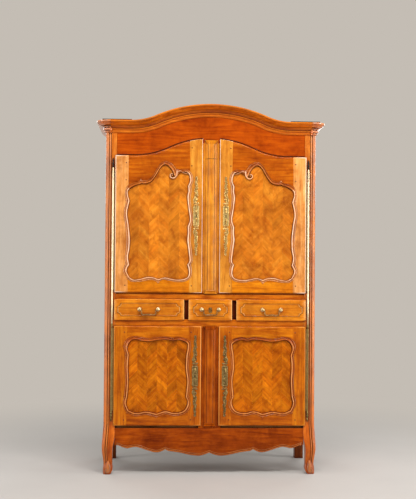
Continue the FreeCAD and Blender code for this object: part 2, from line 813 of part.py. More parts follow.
# The same for a lower door.
LOWER_INNER_SHARES = (
    ((0.180, 0.157), (0.262, 0.132), (0.376, 0.147), (0.493, 0.127)),
    ((0.493, 0.127), (0.596, 0.152), (0.700, 0.133), (0.804, 0.158), (0.844, 0.240),
     (0.820, 0.291)),
    ((0.820, 0.291), (0.836, 0.445), (0.818, 0.578), (0.823, 0.707)),
    ((0.823, 0.707), (0.839, 0.794), (0.832, 0.825), (0.752, 0.856), (0.670, 0.848)),
    ((0.670, 0.848), (0.600, 0.859), (0.509, 0.854), (0.406, 0.839), (0.323, 0.843)),
    ((0.323, 0.843), (0.245, 0.857), (0.194, 0.837), (0.161, 0.777), (0.180, 0.709)),
    ((0.180, 0.709), (0.171, 0.595), (0.178, 0.443), (0.168, 0.295)),
    ((0.168, 0.295), (0.152, 0.220), (0.180, 0.157)),
)
LOWER_OUTER_SHARES = (
    ((0.152, 0.127), (0.262, 0.093), (0.376, 0.107), (0.493, 0.082)),
    ((0.493, 0.082), (0.596, 0.113), (0.700, 0.095), (0.823, 0.122), (0.885, 0.197),
     (0.867, 0.291)),
    ((0.867, 0.291), (0.879, 0.445), (0.864, 0.578), (0.869, 0.707)),
    ((0.869, 0.707), (0.886, 0.794), (0.860, 0.860), (0.752, 0.895), (0.670, 0.882)),
    ((0.670, 0.882), (0.600, 0.896), (0.509, 0.891), (0.406, 0.878), (0.323, 0.887)),
    ((0.323, 0.887), (0.245, 0.898), (0.161, 0.879), (0.112, 0.802), (0.135, 0.709)),
    ((0.135, 0.709), (0.126, 0.595), (0.133, 0.443), (0.122, 0.295)),
    ((0.122, 0.295), (0.107, 0.220), (0.152, 0.127)),
)
# Between these shares of a door's height the moulding belongs to the stile beside it.
UPPER_JOINT_SHARES = {"hinge": (0.157, 0.716), "lock": (0.15, 0.83)}
LOWER_JOINT_SHARES = {"hinge": (0.22, 0.777), "lock": (0.24, 0.794)}
# Half outline of the escutcheon's leafage, from the plate outwards: shares of the
# plate's half width and of the leafage's height.
LEAFAGE_SHARES = (
    (1.0, 0.0), (0.6, 0.08), (0.95, 0.2), (1.0, 0.32), (0.5, 0.46), (0.85, 0.6),
    (0.8, 0.7), (0.35, 0.84), (0.45, 0.93), (0.0, 1.0),
)


def door_frame(upper):
    """The left door's joined frame in one solid, with its carved opening and moulding."""
    outer, inner = S["door_outer"], S["door_inner"]
    far, gap = S["overrun"], S["door_clearance"]
    deep = S["post_depth"]
    front, lip_back, back = S["lip_front"], S["lip_back"], S["tongue_back"]
    top = S["door_top"] if upper else S["lower_door_top"]
    bottom = S["upper_door_bottom"] if upper else S["lower_door_bottom"]
    tongue_bottom = S["upper_rail_top"] + gap if upper else S["floor_top"] + gap
    tongue_top = S["lower_rail_bottom"] - gap
    panel_top = S["upper_panel_top"] if upper else top - S["panel_margin"]
    side, lock_side = -S["post_inner"] + gap, -S["centre_half"] - gap
    if upper:
        high = S["cornice_top"]
        lip = under_wave(door_wave(0), S["body_half"], bottom, front, lip_back)
        lip = lip.common(block(-outer, -inner, front, lip_back, bottom, high))
        tongue = under_wave(
            door_wave(S["lip_lap"] + gap), S["body_half"], tongue_bottom, lip_back, back
        )
        tongue = tongue.common(block(side, lock_side, lip_back, back, tongue_bottom, high))
    else:
        lip = block(-outer, -inner, front, lip_back, bottom, top)
        tongue = block(side, lock_side, lip_back, back, tongue_bottom, tongue_top)
    field = (-outer, outer - inner, bottom, top - bottom)
    hole = share_wire(UPPER_INNER_SHARES if upper else LOWER_INNER_SHARES, *field)
    edge = share_wire(UPPER_OUTER_SHARES if upper else LOWER_OUTER_SHARES, *field)
    ring = prism(edge, front - S["moulding_proud"], front)
    opening = prism(hole, front - deep, back + deep)
    margin = S["panel_margin"]
    pocket = block(
        -outer + margin, -inner - margin, S["panel_front"], back + far,
        bottom + margin, panel_top,
    )
    keyhole_height = S["upper_keyhole_height"] if upper else S["lower_keyhole_height"]
    keyhole = Part.makeCylinder(
        S["key_hole_radius"], 2 * deep,
        Vector(-S["lock_line"], front - deep, keyhole_height), Vector(0, 1, 0),
    )
    frame = lip.fuse([tongue, ring]).cut([opening, pocket, keyhole])
    return frame.removeSplitter()


def door_panel(upper):
    outer, inner, margin = S["door_outer"], S["door_inner"], S["panel_margin"]
    bottom = S["upper_door_bottom"] if upper else S["lower_door_bottom"]
    top = S["upper_panel_top"] if upper else S["lower_door_top"] - margin
    return block(
        -outer + margin, -inner - margin, S["panel_front"],
        S["panel_front"] + S["panel_thickness"], bottom + margin, top,
    )


def escutcheon(upper):
    """A long pierced mount: a plate with a keyhole and leafage above and below."""
    half, plate = S["plate_width"] / 2, S["plate_height"] / 2
    x = -S["lock_line"]
    z = S["upper_keyhole_height"] if upper else S["lower_keyhole_height"]
    crest = S["upper_crest_height"] if upper else S["lower_crest_height"]
    tail = S["upper_tail_height"] if upper else S["lower_tail_height"]
    rising = [Vector(a * half, 0, plate + b * crest) for a, b in LEAFAGE_SHARES]
    falling = [Vector(a * half, 0, -plate - b * tail) for a, b in LEAFAGE_SHARES]
    sides = []
    for sign in (1, -1):
        up = [Vector(sign * point.x, 0, point.z) for point in rising]
        down = [Vector(sign * point.x, 0, point.z) for point in falling]
        sides += [spline(up), Part.makeLine(up[0], down[0]), spline(down)]
    wire = Part.Wire(Part.__sortEdges__(sides))
    front = S["lip_front"]
    solid = prism(wire, front - S["plate_thickness"], front)
    solid.translate(Vector(x, 0, z))
    keyhole = Part.makeCylinder(
        S["key_hole_radius"], 2 * S["lip_thickness"],
        Vector(x, front - S["lip_thickness"], z), Vector(0, 1, 0),
    )
    return solid.cut(keyhole)


def barrel(upper):
    """The door's own hinge barrel, with the leaf that joins it to the lip's edge."""
    bottom = S["upper_barrel_bottom"] if upper else S["lower_barrel_bottom"]
    top = S["upper_barrel_top"] if upper else S["lower_barrel_top"]
    x, y, height = -S["hinge_line"], S["hinge_depth"], top - bottom
    base = Vector(x, y, bottom)
    tube = Part.makeCylinder(S["barrel_radius"], height, base)
    bore = Part.makeCylinder(S["rod_radius"] + S["barrel_bore_clearance"], height, base)
    half = S["hinge_tab_thickness"] / 2
    leaf = block(x, -S["door_outer"], y - half, y + half, bottom, top)
    return tube.fuse(leaf).cut(bore).removeSplitter()


def lock_case(upper):
    z = S["upper_keyhole_height"] if upper else S["lower_keyhole_height"]
    half = S["lock_case_height"] / 2
    back, gap = S["tongue_back"], S["running_gap"]
    edge = S["lock_edge"]
    case = block(
        -edge - S["lock_case_width"], -edge, back, back + S["lock_case_thickness"],
        z - half, z + half,
    )
    return case.cut(bolt_block(z, gap, S["overrun"]))


def bolt_block(z, gap, reach):
    """The bolt's space, larger by the gap, reaching out past its tip."""
    tip, half = S["bolt_tip"], S["bolt_height"] / 2
    wall = (S["lock_case_thickness"] - S["bolt_thickness"]) / 2
    back = S["tongue_back"]
    return block(
        -tip - S["bolt_length"] - gap, -tip + reach, back + wall - gap,
        back + wall + S["bolt_thickness"] + gap, z - half - gap, z + half + gap,
    )


def door(upper, level):
    """All pieces of the left and the right door of one level."""
    frame = door_frame(upper)
    high = 2 * S["cornice_top"]
    far = S["body_depth"]
    hinge_joint = -S["door_outer"] + S["hinge_stile_width"]
    lock_joint = -S["door_inner"] - S["lock_stile_width"]
    shares = UPPER_JOINT_SHARES if upper else LOWER_JOINT_SHARES
    bottom = S["upper_door_bottom"] if upper else S["lower_door_bottom"]
    height = (S["door_top"] if upper else S["lower_door_top"]) - bottom
    low, top = [bottom + share * height for share in shares["hinge"]]
    low_lock, top_lock = [bottom + share * height for share in shares["lock"]]
    middle = -(S["door_outer"] + S["door_inner"]) / 2
    zones = {
        "hinge": block(-S["body_width"], hinge_joint, -far, far, 0, high).fuse(
            block(hinge_joint, middle, -far, far, low, top)
        ),
        "lock": block(lock_joint, 0, -far, far, 0, high).fuse(
            block(middle, lock_joint, -far, far, low_lock, top_lock)
        ),
    }
    stiles = [frame.common(zones["hinge"]), frame.common(zones["lock"])]
    cross = frame.cut([zones["hinge"], zones["lock"]])
    z = S["upper_keyhole_height"] if upper else S["lower_keyhole_height"]
    pieces = {
        "stiles": [solid for stile in stiles for solid in stile.Solids],
        "rails": cross.Solids,
        "panel": [door_panel(upper)],
        "escutcheon": [escutcheon(upper)],
        "hinge_barrel": [barrel(upper)],
        "lock_case": [lock_case(upper)],
        "bolt": [bolt_block(z, 0, 0)],
    }
    for side in ("left", "right"):
        for piece, solids in pieces.items():
            turned = solids if side == "left" else [mirrored(solid) for solid in solids]
            shaped(f"door_{level}_{side}_{piece}", *turned)


def cartouche_wire(centre, width, height, depth):
    """A rectangle with hollow corners, round the middle of a drawer front."""
    half, up = width / 2, height / 2
    notch = height / 4
    middle = (S["drawer_lip_top"] + S["drawer_lip_bottom"]) / 2
    edges = []
    slant = notch * math.sqrt(0.5)
    quarters = ((1, 1), (-1, 1), (-1, -1), (1, -1))
    ends = []
    for right, above in quarters:
        corner = Vector(centre + right * half, depth, middle + above * up)
        level = corner - Vector(right * notch, 0, 0)
        upright = corner - Vector(0, 0, above * notch)
        between = corner - Vector(right * slant, 0, above * slant)
        pair = (upright, between, level) if right * above > 0 else (level, between, upright)
        edges.append(Part.Arc(*pair).toShape())
        ends.append((pair[0], pair[2]))
    for index in range(len(ends)):
        edges.append(Part.makeLine(ends[index][1], ends[(index + 1) % len(ends)][0]))
    return Part.Wire(Part.__sortEdges__(edges))


def drawer(name, low, high, post_side, centre, spacing, cartouche):
    """One drawer: front with an incised line, box, two handle posts and a bail."""
    gap, side_gap = S["running_gap"], S["drawer_side_gap"]
    bottom, top = S["opening_bottom"] + gap, S["opening_top"] - side_gap
    front, lip_back = S["lip_front"], S["lip_back"]
    tongue_back = front + S["drawer_front_thickness"]
    lip = block(low, high, front, lip_back, S["drawer_lip_bottom"], S["drawer_lip_top"])
    lap = S["drawer_lap"] + side_gap
    outer_lap = S["drawer_post_lap"] + side_gap
    left = low + (outer_lap if post_side == "left" else lap)
    right = high - (outer_lap if post_side == "right" else lap)
    tongue = block(left, right, lip_back, tongue_back, bottom, top)
    line = S["cartouche_line"]
    groove = prism(
        cartouche_wire(centre, cartouche, S["cartouche_height"], 0),
        front - line, front + S["cartouche_depth"],
    )
    kept = prism(
        cartouche_wire(centre, cartouche - 2 * line, S["cartouche_height"] - 2 * line, 0),
        front - 2 * line, front + line,
    )
    shaped(f"drawer_{name}_front", lip.fuse(tongue).removeSplitter().cut(groove.cut(kept)))

    wall, back = S["drawer_wall"], tongue_back + S["drawer_box_length"]
    base = bottom + S["drawer_bottom"]
    box = [
        block(left, left + wall, tongue_back, back, bottom, top - wall),
        block(right - wall, right, tongue_back, back, bottom, top - wall),
        block(left + wall, right - wall, back - wall, back, base, top - wall),
        block(left + wall, right - wall, tongue_back, back, bottom, base),
    ]
    shaped(f"drawer_{name}_box", *box)

    eye = S["eye_depth"]
    z = S["handle_height"]
    posts = []
    for sign in (-1, 1):
        x = centre + sign * spacing / 2
        face = Vector(x, front, z)
        out = Vector(0, -1, 0)
        rose = Part.makeCylinder(S["rose_radius"], S["rose_thickness"], face, out)
        stem = Part.makeCylinder(S["stem_radius"], S["eye_stand"], face, out)
        knob = Part.makeSphere(S["knob_radius"], Vector(x, eye, z))
        inward = Vector(-sign, 0, 0)
        start = Vector(x, eye, z) + inward * (S["knob_radius"] - S["bail_pin_length"] - gap)
        bore = Part.makeCylinder(
            S["bail_pin_radius"] + S["barrel_bore_clearance"], S["knob_radius"], start, inward
        )
        posts.append(rose.fuse([stem, knob]).cut(bore).removeSplitter())
    if name == "middle":
        plate = Part.makeCylinder(
            S["shell_radius"], S["rose_thickness"], Vector(centre, front, z), Vector(0, -1, 0)
        )
        posts.append(plate)
    shaped(f"drawer_{name}_handle_posts", *posts)
    shaped(f"drawer_{name}_bail", bail(centre, spacing))


def bail(centre, spacing):
    """A wire handle between two pins that turn in the posts."""
    y, z = S["eye_depth"], S["handle_height"]
    start = spacing / 2 - S["knob_radius"] - S["running_gap"]
    neck = S["bail_neck"]
    leg = start - neck
    drop, corner = S["bail_drop"], S["bail_corner"]
    slant = 1 - math.sqrt(0.5)

    def place(x, fall):
        return Vector(centre + x, y, z - fall)

    right = [
        (start, 0), (leg + neck * slant, neck * slant), (leg, neck),
        (leg, drop - corner), (leg - corner * slant, drop - corner * slant),
        (leg - corner, drop),
    ]
    a, b, c, d, e, f = [place(x, fall) for x, fall in right]
    g, m, n, o, p, q = [place(-x, fall) for x, fall in reversed(right)]
    path = Part.Wire([
        Part.Arc(a, b, c).toShape(), Part.makeLine(c, d), Part.Arc(d, e, f).toShape(),
        Part.makeLine(f, g), Part.Arc(g, m, n).toShape(), Part.makeLine(n, o),
        Part.Arc(o, p, q).toShape(),
    ])
    across = Vector(1, 0, 0)
    circle = Part.Wire(Part.makeCircle(S["bail_wire_radius"], a, across))
    wire = path.makePipeShell([circle], True, False)
    length = S["bail_pin_length"] + S["running_gap"]
    pins = [
        Part.makeCylinder(S["bail_pin_radius"], length, a, across),
        Part.makeCylinder(S["bail_pin_radius"], length, q, -across),
    ]
    return wire.fuse(pins).removeSplitter()


def build():
    corner_posts()
    frieze()
    cornice()
    rails()
    centre_post(
        "centre_post_upper", "upper_rail_top", "centre_top", "upper_keyhole_height",
        "upper_rail_top - centre_cap_foot_lap", "centre_top + centre_cap_top_lap",
    )
    centre_post(
        "centre_post_lower", "apron_top", "lower_rail_bottom", "lower_keyhole_height",
        "apron_top + centre_cap_floor_gap", "lower_rail_bottom + centre_cap_lap",
    )
    apron()
    sides_and_back()
    floors_and_shelves()
    roof()
    hinge_rods()
    door(True, "upper")
    door(False, "lower")
    outer, inner = S["drawer_outer"], S["side_drawer_inner"]
    middle, place = S["middle_drawer_half"], S["side_handle_centre"]
    spacing, wide = S["side_handle_spacing"], S["cartouche_width"]
    drawer("left", -outer, -inner, "left", -place, spacing, wide)
    drawer("right", inner, outer, "right", place, spacing, wide)
    drawer(
        "middle", -middle, middle, "none", 0,
        S["middle_handle_spacing"], S["middle_cartouche_width"],
    )
    doc.recompute()


def check_and_write():
    """Stop on any failed object or bad shape, then write one file for each sub-part."""
    for thing in doc.Objects:
        if "Invalid" in thing.State or "Error" in thing.State:
            raise RuntimeError(f"{thing.Label} failed: {thing.State}")
    for node in NODES:
        shape = node.Shape
        if shape.isNull() or not shape.isValid() or not shape.Solids:
            raise RuntimeError(f"{node.Label} has a bad shape")
    os.makedirs("parts", exist_ok=True)
    for node in NODES:
        node.Shape.exportStep(f"parts/{node.Label}.step")
    print(f"wrote {len(NODES)} sub-parts")


build()
check_and_write()
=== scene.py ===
import math
import random

import bmesh
import bpy
from mathutils import Matrix, Vector


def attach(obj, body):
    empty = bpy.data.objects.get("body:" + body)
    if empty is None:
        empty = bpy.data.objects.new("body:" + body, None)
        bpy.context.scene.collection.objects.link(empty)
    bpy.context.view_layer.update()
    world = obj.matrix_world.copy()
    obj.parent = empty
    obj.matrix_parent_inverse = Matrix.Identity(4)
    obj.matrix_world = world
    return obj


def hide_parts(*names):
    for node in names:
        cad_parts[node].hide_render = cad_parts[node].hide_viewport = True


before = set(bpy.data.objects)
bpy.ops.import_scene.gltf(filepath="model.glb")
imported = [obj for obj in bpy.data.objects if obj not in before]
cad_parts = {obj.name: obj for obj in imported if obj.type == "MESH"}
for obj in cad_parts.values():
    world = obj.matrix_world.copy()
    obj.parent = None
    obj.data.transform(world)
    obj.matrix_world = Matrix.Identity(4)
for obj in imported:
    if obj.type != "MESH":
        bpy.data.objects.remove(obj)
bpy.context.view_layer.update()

# Places are in metres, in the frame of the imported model: X right, front towards -Y, Z up.
# Tables of sections are in millimetres.
MM = 0.001
TINY = 1e-6
FRONT, REAR = -0.265, 0.325
LIP_FRONT, LIP_BACK, TONGUE_BACK = -0.277, -0.2655, -0.245
SIDES = (("left", -1), ("right", 1))


# Materials

def srgb(colour):
    """A colour on a scale to 255, as the shader wants it."""
    def channel(value):
        value /= 255
        return value / 12.92 if value <= 0.04045 else ((value + 0.055) / 1.055) ** 2.4
    return (*map(channel, colour), 1.0)


class Nodes:
    """A small writer for the shader tree of a material or world."""

    def __init__(self, owner):
        owner.use_nodes = True
        self.owner = owner
        self.tree = owner.node_tree

    def add(self, kind, inputs=None, **settings):
        node = self.tree.nodes.new("ShaderNode" + kind)
        for key, value in settings.items():
            setattr(node, key, value)
        for key, value in (inputs or {}).items():
            self.put(node.inputs[key], value)
        return node

    def put(self, socket, value):
        """Link or set an input; None leaves it as it is."""
        if isinstance(value, bpy.types.NodeSocket):
            self.tree.links.new(value, socket)
        elif value is not None:
            socket.default_value = value

    def place(self, kind="Object"):
        return self.add("TexCoord").outputs[kind]

    def part(self, vector, axis):
        return self.add("SeparateXYZ", {"Vector": vector}).outputs[axis]

    def attribute(self, name):
        return self.add("Attribute", attribute_name=name).outputs["Color"]

    def noise(self, vector, scale, detail=4.0, rough=0.55, distortion=0.0):
        inputs = {"Vector": vector, "Scale": scale, "Detail": detail, "Roughness": rough}
        return self.add("TexNoise", {**inputs, "Distortion": distortion}).outputs["Fac"]

    def stretched(self, vector, scale, offset):
        inputs = {"Vector": vector, "Scale": scale, "Location": offset}
        return self.add("Mapping", inputs).outputs["Vector"]

    def ramp(self, factor, *stops):
        """Each stop is a place and a colour, or a number for a grey."""
        node = self.add("ValToRGB", {"Fac": factor})
        ramp = node.color_ramp
        while len(ramp.elements) < len(stops):
            ramp.elements.new(0.5)
        for element, (place, colour) in zip(ramp.elements, stops):
            colour = colour if isinstance(colour, tuple) else (colour, colour, colour)
            element.position = place
            element.color = (*colour[:3], 1.0)
        return node.outputs["Color"]

    def mix(self, factor, first, second, kind="MIX"):
        inputs = {0: factor, 6: first, 7: second}
        return self.add("Mix", inputs, data_type="RGBA", blend_type=kind).outputs[2]

    def tint(self, factor, colour, by):
        return self.mix(factor, colour, by, "MULTIPLY")

    def math(self, kind, first, second=0.0):
        return self.add("Math", {0: first, 1: second}, operation=kind).outputs[0]

    def bump(self, height, distance, strength, below=None):
        inputs = {"Height": height, "Distance": distance, "Strength": strength}
        return self.add("Bump", {**inputs, "Normal": below}).outputs["Normal"]

    def finish(self, colour, rough, normal=None, metal=0.0, coat=0.0, coat_rough=0.2,
               specular=0.5):
        shader = self.tree.nodes["Principled BSDF"]
        for key, value in (
            ("Base Color", colour), ("Roughness", rough), ("Normal", normal),
            ("Metallic", metal), ("Coat Weight", coat), ("Coat Roughness", coat_rough),
            ("Specular IOR Level", specular),
        ):
            self.put(shader.inputs[key], value)
        return self.owner


FINISHES = {}
GRAIN_SCALES = {"x": (1.0, 11.0, 11.0), "y": (11.0, 1.0, 11.0), "z": (11.0, 11.0, 1.0),
                "uv": (1.0, 11.0, 1.0)}
# Tints for stains, clouds of tone, darkening towards the floor and painted shade in corners,
# darkest first.
STAIN = ((0.26, (0.56, 0.42, 0.30)), (0.47, (0.94, 0.91, 0.88)), (0.70, (1.14, 1.18, 1.26)))
CLOUD = ((0.30, (0.70, 0.58, 0.44)), (0.50, 1.0), (0.70, (1.14, 1.18, 1.22)))
FLOOR_DARKENING = ((0.06, (0.50, 0.42, 0.36)), (0.40, 1.0))
NOOK_SHADE = ((0.25, (0.13, 0.06, 0.04)), (0.66, (0.66, 0.52, 0.42)), (0.90, 1.0))
# Colour of the dirt and painted shade in the hollows.
HOLLOW_DIRT_AND_SHADE = (0.20, 0.11, 0.06, 1.0)
NOOK_REACH = 0.018


def wood(name, light, middle, dark, grain="z", seed=0.0, polish=1.0, gloss=0.26, streak=1.0,
         mottle=6.0, blotch=0.55, nooks=0.9, wear_highlight=None, side=None, low=None):
    """Waxed old wood. Grain runs along one axis, or along U where a mesh carries UVs.

    A mesh's marks darken its hollows (red) with dirt and painted shade, and rub its ridges
    (green) to the pale colour with wear and a painted highlight, and do nothing where they
    were never set, which leaves blue at one; faces that turn to the side take the side
    colour, a painted highlight, and the foot of the piece the low tint, where they are given.
    """
    n = Nodes(bpy.data.materials.new(f"{name}_wood"))
    light, middle, dark = srgb(light), srgb(middle), srgb(dark)
    laid = grain == "uv"
    whole = n.place()
    place = n.add("UVMap", uv_map="grain").outputs["UV"] if laid else whole
    along = GRAIN_SCALES[grain]
    fine = tuple(4.0 * value for value in along)
    shift = (seed, seed * 0.7, seed * 1.3)
    stretched = n.stretched(place, along, shift)
    figure = n.noise(stretched, 5.0, 5.0, 0.6, 0.15 if laid else 0.5)
    streaks = n.noise(stretched, 26.0, 4.0, 0.65, 0.25)
    pores = n.noise(n.stretched(place, fine, shift), 60.0, 2.0)
    patches = n.noise(n.stretched(whole, (1.0, 1.0, 1.0), shift), mottle, 4.0, 0.55, 0.6)
    clouds = n.noise(n.stretched(whole, (1.0, 1.0, 0.8), shift), mottle * 3.4, 3.0, 0.6, 0.5)
    colour = n.ramp(figure, (0.22, dark), (0.48, middle), (0.74, light))
    colour = n.tint(1.0, colour, n.ramp(streaks, (0.30, 1.0 - 0.15 * streak), (0.56, 1.0)))
    colour = n.tint(0.9, colour, n.ramp(patches, *STAIN))
    colour = n.tint(0.4, colour, n.ramp(pores, (0.36, 0.72), (0.46, 1.0)))
    if laid:
        colour = n.tint(1.0, colour, n.attribute("tone"))
    colour = n.tint(blotch, colour, n.ramp(clouds, *CLOUD))
    # Faces that turn to the side, such as the rounded lips, take the side colour: a painted
    # highlight.
    if side:
        turned = n.math("ABSOLUTE", n.part(n.place("Normal"), "X"))
        colour = n.mix(n.ramp(turned, (0.05, 0.0), (0.30, 1.0)), colour, srgb(side))
    # Marks on the mesh: red darkens the hollows with dirt and painted shade, green lightens the
    # ridges with wear and a painted highlight.
    worn = n.add("SeparateColor", {"Color": n.attribute("worn")}).outputs
    ridge_wear_and_highlight = n.math("MAXIMUM", n.math("SUBTRACT", worn["Green"], worn["Blue"]))
    ridge_wear_and_highlight = n.math("MULTIPLY", ridge_wear_and_highlight, n.ramp(clouds, (0.3, 1.0), (0.7, 0.5)))
    wear_highlight = srgb(wear_highlight) if wear_highlight else tuple(value ** 0.7 for value in light)
    colour = n.mix(ridge_wear_and_highlight, colour, wear_highlight)
    hollow_dirt_and_shade = n.math("MAXIMUM", n.math("SUBTRACT", worn["Red"], worn["Blue"]))
    colour = n.tint(hollow_dirt_and_shade, colour, HOLLOW_DIRT_AND_SHADE)
    height = n.part(whole, "Z")
    # Darker towards the floor, in patches.
    near_floor = n.math("ADD", height, n.math("MULTIPLY", patches, 0.2))
    colour = n.tint(0.9, colour, n.ramp(near_floor, *FLOOR_DARKENING))
    if low:
        shade = n.ramp(n.math("MULTIPLY", height, 0.5), (0.15, low), (0.62, 1.0))
        colour = n.tint(1.0, colour, shade)
    # Painted shade in nooks and corners, from ambient occlusion.
    nook = n.add("AmbientOcclusion", {"Distance": NOOK_REACH}, samples=6).outputs["AO"]
    colour = n.tint(nooks, colour, n.ramp(nook, *NOOK_SHADE))
    rough = n.math("ADD", n.math("MULTIPLY", patches, 0.14), gloss - 0.07)
    rough = n.math("ADD", rough, n.math("MULTIPLY", streaks, 0.06))
    normal = n.bump(figure, 0.0010, 0.2, n.bump(pores, 0.0004, 0.3))
    FINISHES[name] = n.finish(colour, rough, normal, coat=0.5 * polish, coat_rough=0.12,
                              specular=0.15 * polish)


def brass(name, bright, tarnish, amount, gloss):
    """Old brass: bright where it is rubbed, brown in the hollows."""
    n = Nodes(bpy.data.materials.new(name))
    bright, tarnish = srgb(bright), srgb(tarnish)
    place = n.place()
    clouds = n.noise(place, 60.0, 5.0, 0.6, 0.4)
    specks = n.noise(place, 420.0, 3.0, 0.6)
    cover = n.ramp(clouds, (0.62 - 0.4 * amount, 1.0), (0.80 - 0.25 * amount, 0.0))
    colour = n.mix(cover, bright, tarnish)
    edge = n.add("NewGeometry").outputs["Pointiness"]
    colour = n.tint(0.8, colour, n.ramp(edge, (0.44, 0.35), (0.50, 1.0)))
    colour = n.mix(n.ramp(edge, (0.52, 0.0), (0.60, 0.6)), colour, bright)
    rough = n.math("ADD", n.math("MULTIPLY", specks, 0.16), gloss - 0.08)
    FINISHES[name] = n.finish(colour, rough, n.bump(specks, 0.0003, 0.3), metal=1.0)


def iron(name, shade, gloss=0.5):
    """Dark iron with patches of brown rust."""
    n = Nodes(bpy.data.materials.new(name))
    shade, place = srgb(shade), n.place()
    specks = n.noise(place, 300.0, 4.0, 0.6)
    rust = n.ramp(n.noise(place, 40.0, 4.0, 0.6), (0.45, 0.0), (0.7, 0.7))
    colour = n.mix(rust, shade, tuple(value * 1.6 for value in shade[:3]) + (1.0,))
    rough = n.math("ADD", n.math("MULTIPLY", specks, 0.2), gloss - 0.1)
    FINISHES[name] = n.finish(colour, rough, n.bump(specks, 0.0004, 0.4), metal=0.85)


# The same stained and waxed wood all over, in paler copies on the upper doors as painted light
# and darker, redder copies lower down as painted shade, and duller inside: light, middle and
# dark tone, grain, seed and polish, then what differs.
# Pale colours for the ridges, where wear and a painted highlight lighten the wood.
PINKISH = (246, 204, 168)
WORN_HIGHLIGHT = (230, 162, 96)
# The upper hinge stiles are paler and pinker for a painted sheen.
wood("upper_hinge_stile", (238, 172, 104), (222, 146, 70), (190, 108, 38), "z", 1.0, 0.8,
     side=(244, 208, 176))
wood("upper_lock_stile", (226, 156, 58), (208, 130, 34), (176, 94, 14), "z", 1.2, 0.8,
     side=(254, 234, 214))
wood("upper_top_rail", (200, 108, 12), (174, 80, 3), (126, 48, 1), "x", 2.0, 0.35)
wood("upper_bottom_rail", (232, 144, 18), (214, 120, 8), (172, 80, 3), "x", 2.2, 0.4)
wood("lower_hinge_stile", (214, 130, 14), (190, 98, 6), (142, 58, 2), "z", 3.0, 0.45,
     side=(212, 130, 40))
wood("lower_lock_stile", (210, 122, 12), (188, 94, 5), (142, 56, 2), "z", 3.2, 0.45,
     side=(218, 138, 58))
wood("lower_top_rail", (220, 134, 16), (196, 102, 6), (146, 60, 2), "x", 4.0, 0.4)
wood("lower_bottom_rail", (204, 112, 10), (176, 84, 4), (120, 44, 2), "x", 4.2, 0.4)
wood("upper_carved", (234, 158, 80), (214, 130, 48), (170, 88, 22), "z", 1.5, 0.7,
     wear_highlight=(250, 220, 188))
wood("upper_rail_carved", (200, 114, 32), (174, 84, 12), (122, 48, 4), "x", 2.5, 0.5,
     wear_highlight=WORN_HIGHLIGHT)
wood("lower_carved", (204, 114, 16), (178, 84, 6), (124, 46, 3), "z", 3.5, 0.45, wear_highlight=WORN_HIGHLIGHT)
wood("lower_rail_carved", (190, 98, 14), (160, 70, 5), (108, 36, 2), "x", 4.5, 0.45,
     wear_highlight=(226, 152, 92))
wood("upper_parquetry", (220, 138, 40), (206, 118, 22), (188, 98, 12), "uv", 5.0, 0.5,
     mottle=7.0, blotch=1.0, streak=0.6, nooks=0.45)
wood("lower_parquetry", (212, 126, 14), (192, 100, 6), (158, 70, 3), "uv", 6.0, 0.3,
     mottle=8.0, blotch=1.0, streak=0.6, nooks=0.45)
wood("frieze", (192, 86, 6), (170, 68, 2), (132, 44, 1), "x", 7.0, 0.25, streak=0.5)
wood("cornice", (224, 124, 20), (200, 94, 7), (136, 50, 3), "x", 8.0, 0.6)
wood("cornice_side", (226, 130, 34), (200, 98, 16), (134, 50, 5), "y", 8.5, 1.3, wear_highlight=PINKISH)
wood("apron", (184, 86, 8), (156, 64, 3), (108, 36, 1), "x", 9.0, 0.25)
wood("apron_bead", (210, 116, 30), (184, 88, 14), (130, 50, 5), "x", 9.5, 0.4,
     wear_highlight=(232, 160, 96))
wood("post", (226, 138, 48), (200, 104, 20), (136, 54, 6), "z", 10.0, 0.7, wear_highlight=PINKISH,
     low=(0.95, 0.74, 0.44))
# The toe's scroll is paler and pinker than the post for a painted highlight.
wood("toe", (222, 150, 92), (190, 108, 54), (124, 56, 20), "z", 10.5, wear_highlight=(246, 210, 180))
wood("centre_upper", (232, 156, 40), (210, 126, 20), (170, 84, 6), "z", 11.0, 0.5,
     wear_highlight=(240, 190, 130))
wood("centre_lower", (196, 100, 8), (160, 68, 3), (102, 32, 1), "z", 11.5, 0.2,
     wear_highlight=(214, 130, 62))
wood("drawer", (234, 148, 32), (216, 122, 14), (174, 80, 4), "x", 12.0, 0.6,
     wear_highlight=(240, 180, 100), side=(232, 166, 88))
wood("rail", (218, 128, 24), (196, 100, 10), (142, 56, 3), "x", 13.0, 0.4)
wood("side", (196, 96, 22), (168, 70, 9), (116, 40, 4), "z", 14.0, 0.35)
# Rear posts darker than the sides, as painted shade under the body.
wood("rear", (148, 78, 26), (120, 56, 14), (82, 32, 6), "z", 14.5, 0.3)
wood("inner", (170, 128, 84), (144, 102, 62), (108, 70, 38), "x", 15.0, 0.1, 0.6)
wood("panel_back", (196, 126, 66), (170, 98, 42), (126, 64, 20), "z", 15.5, 0.3, 0.4)
wood("back", (146, 108, 70), (120, 84, 50), (84, 54, 30), "z", 16.0, 0.0, 0.65)
# Dark wood for the drawer dividers and the strip over the doors: painted shade in those gaps.
wood("dark", (110, 42, 10), (84, 28, 5), (50, 15, 2), "z", 17.0, 0.1, 0.5)
# Darkened edges of the roof boards over the cornice ends.
wood("dark_roof_edge", (62, 50, 42), (44, 34, 28), (26, 20, 16), "x", 17.5, 0.0, 0.8)
wood("roof", (138, 112, 86), (112, 88, 66), (78, 58, 42), "x", 17.8, 0.0, 0.7)
wood("peg", (118, 54, 12), (94, 38, 6), (62, 22, 3), "z", 18.0)
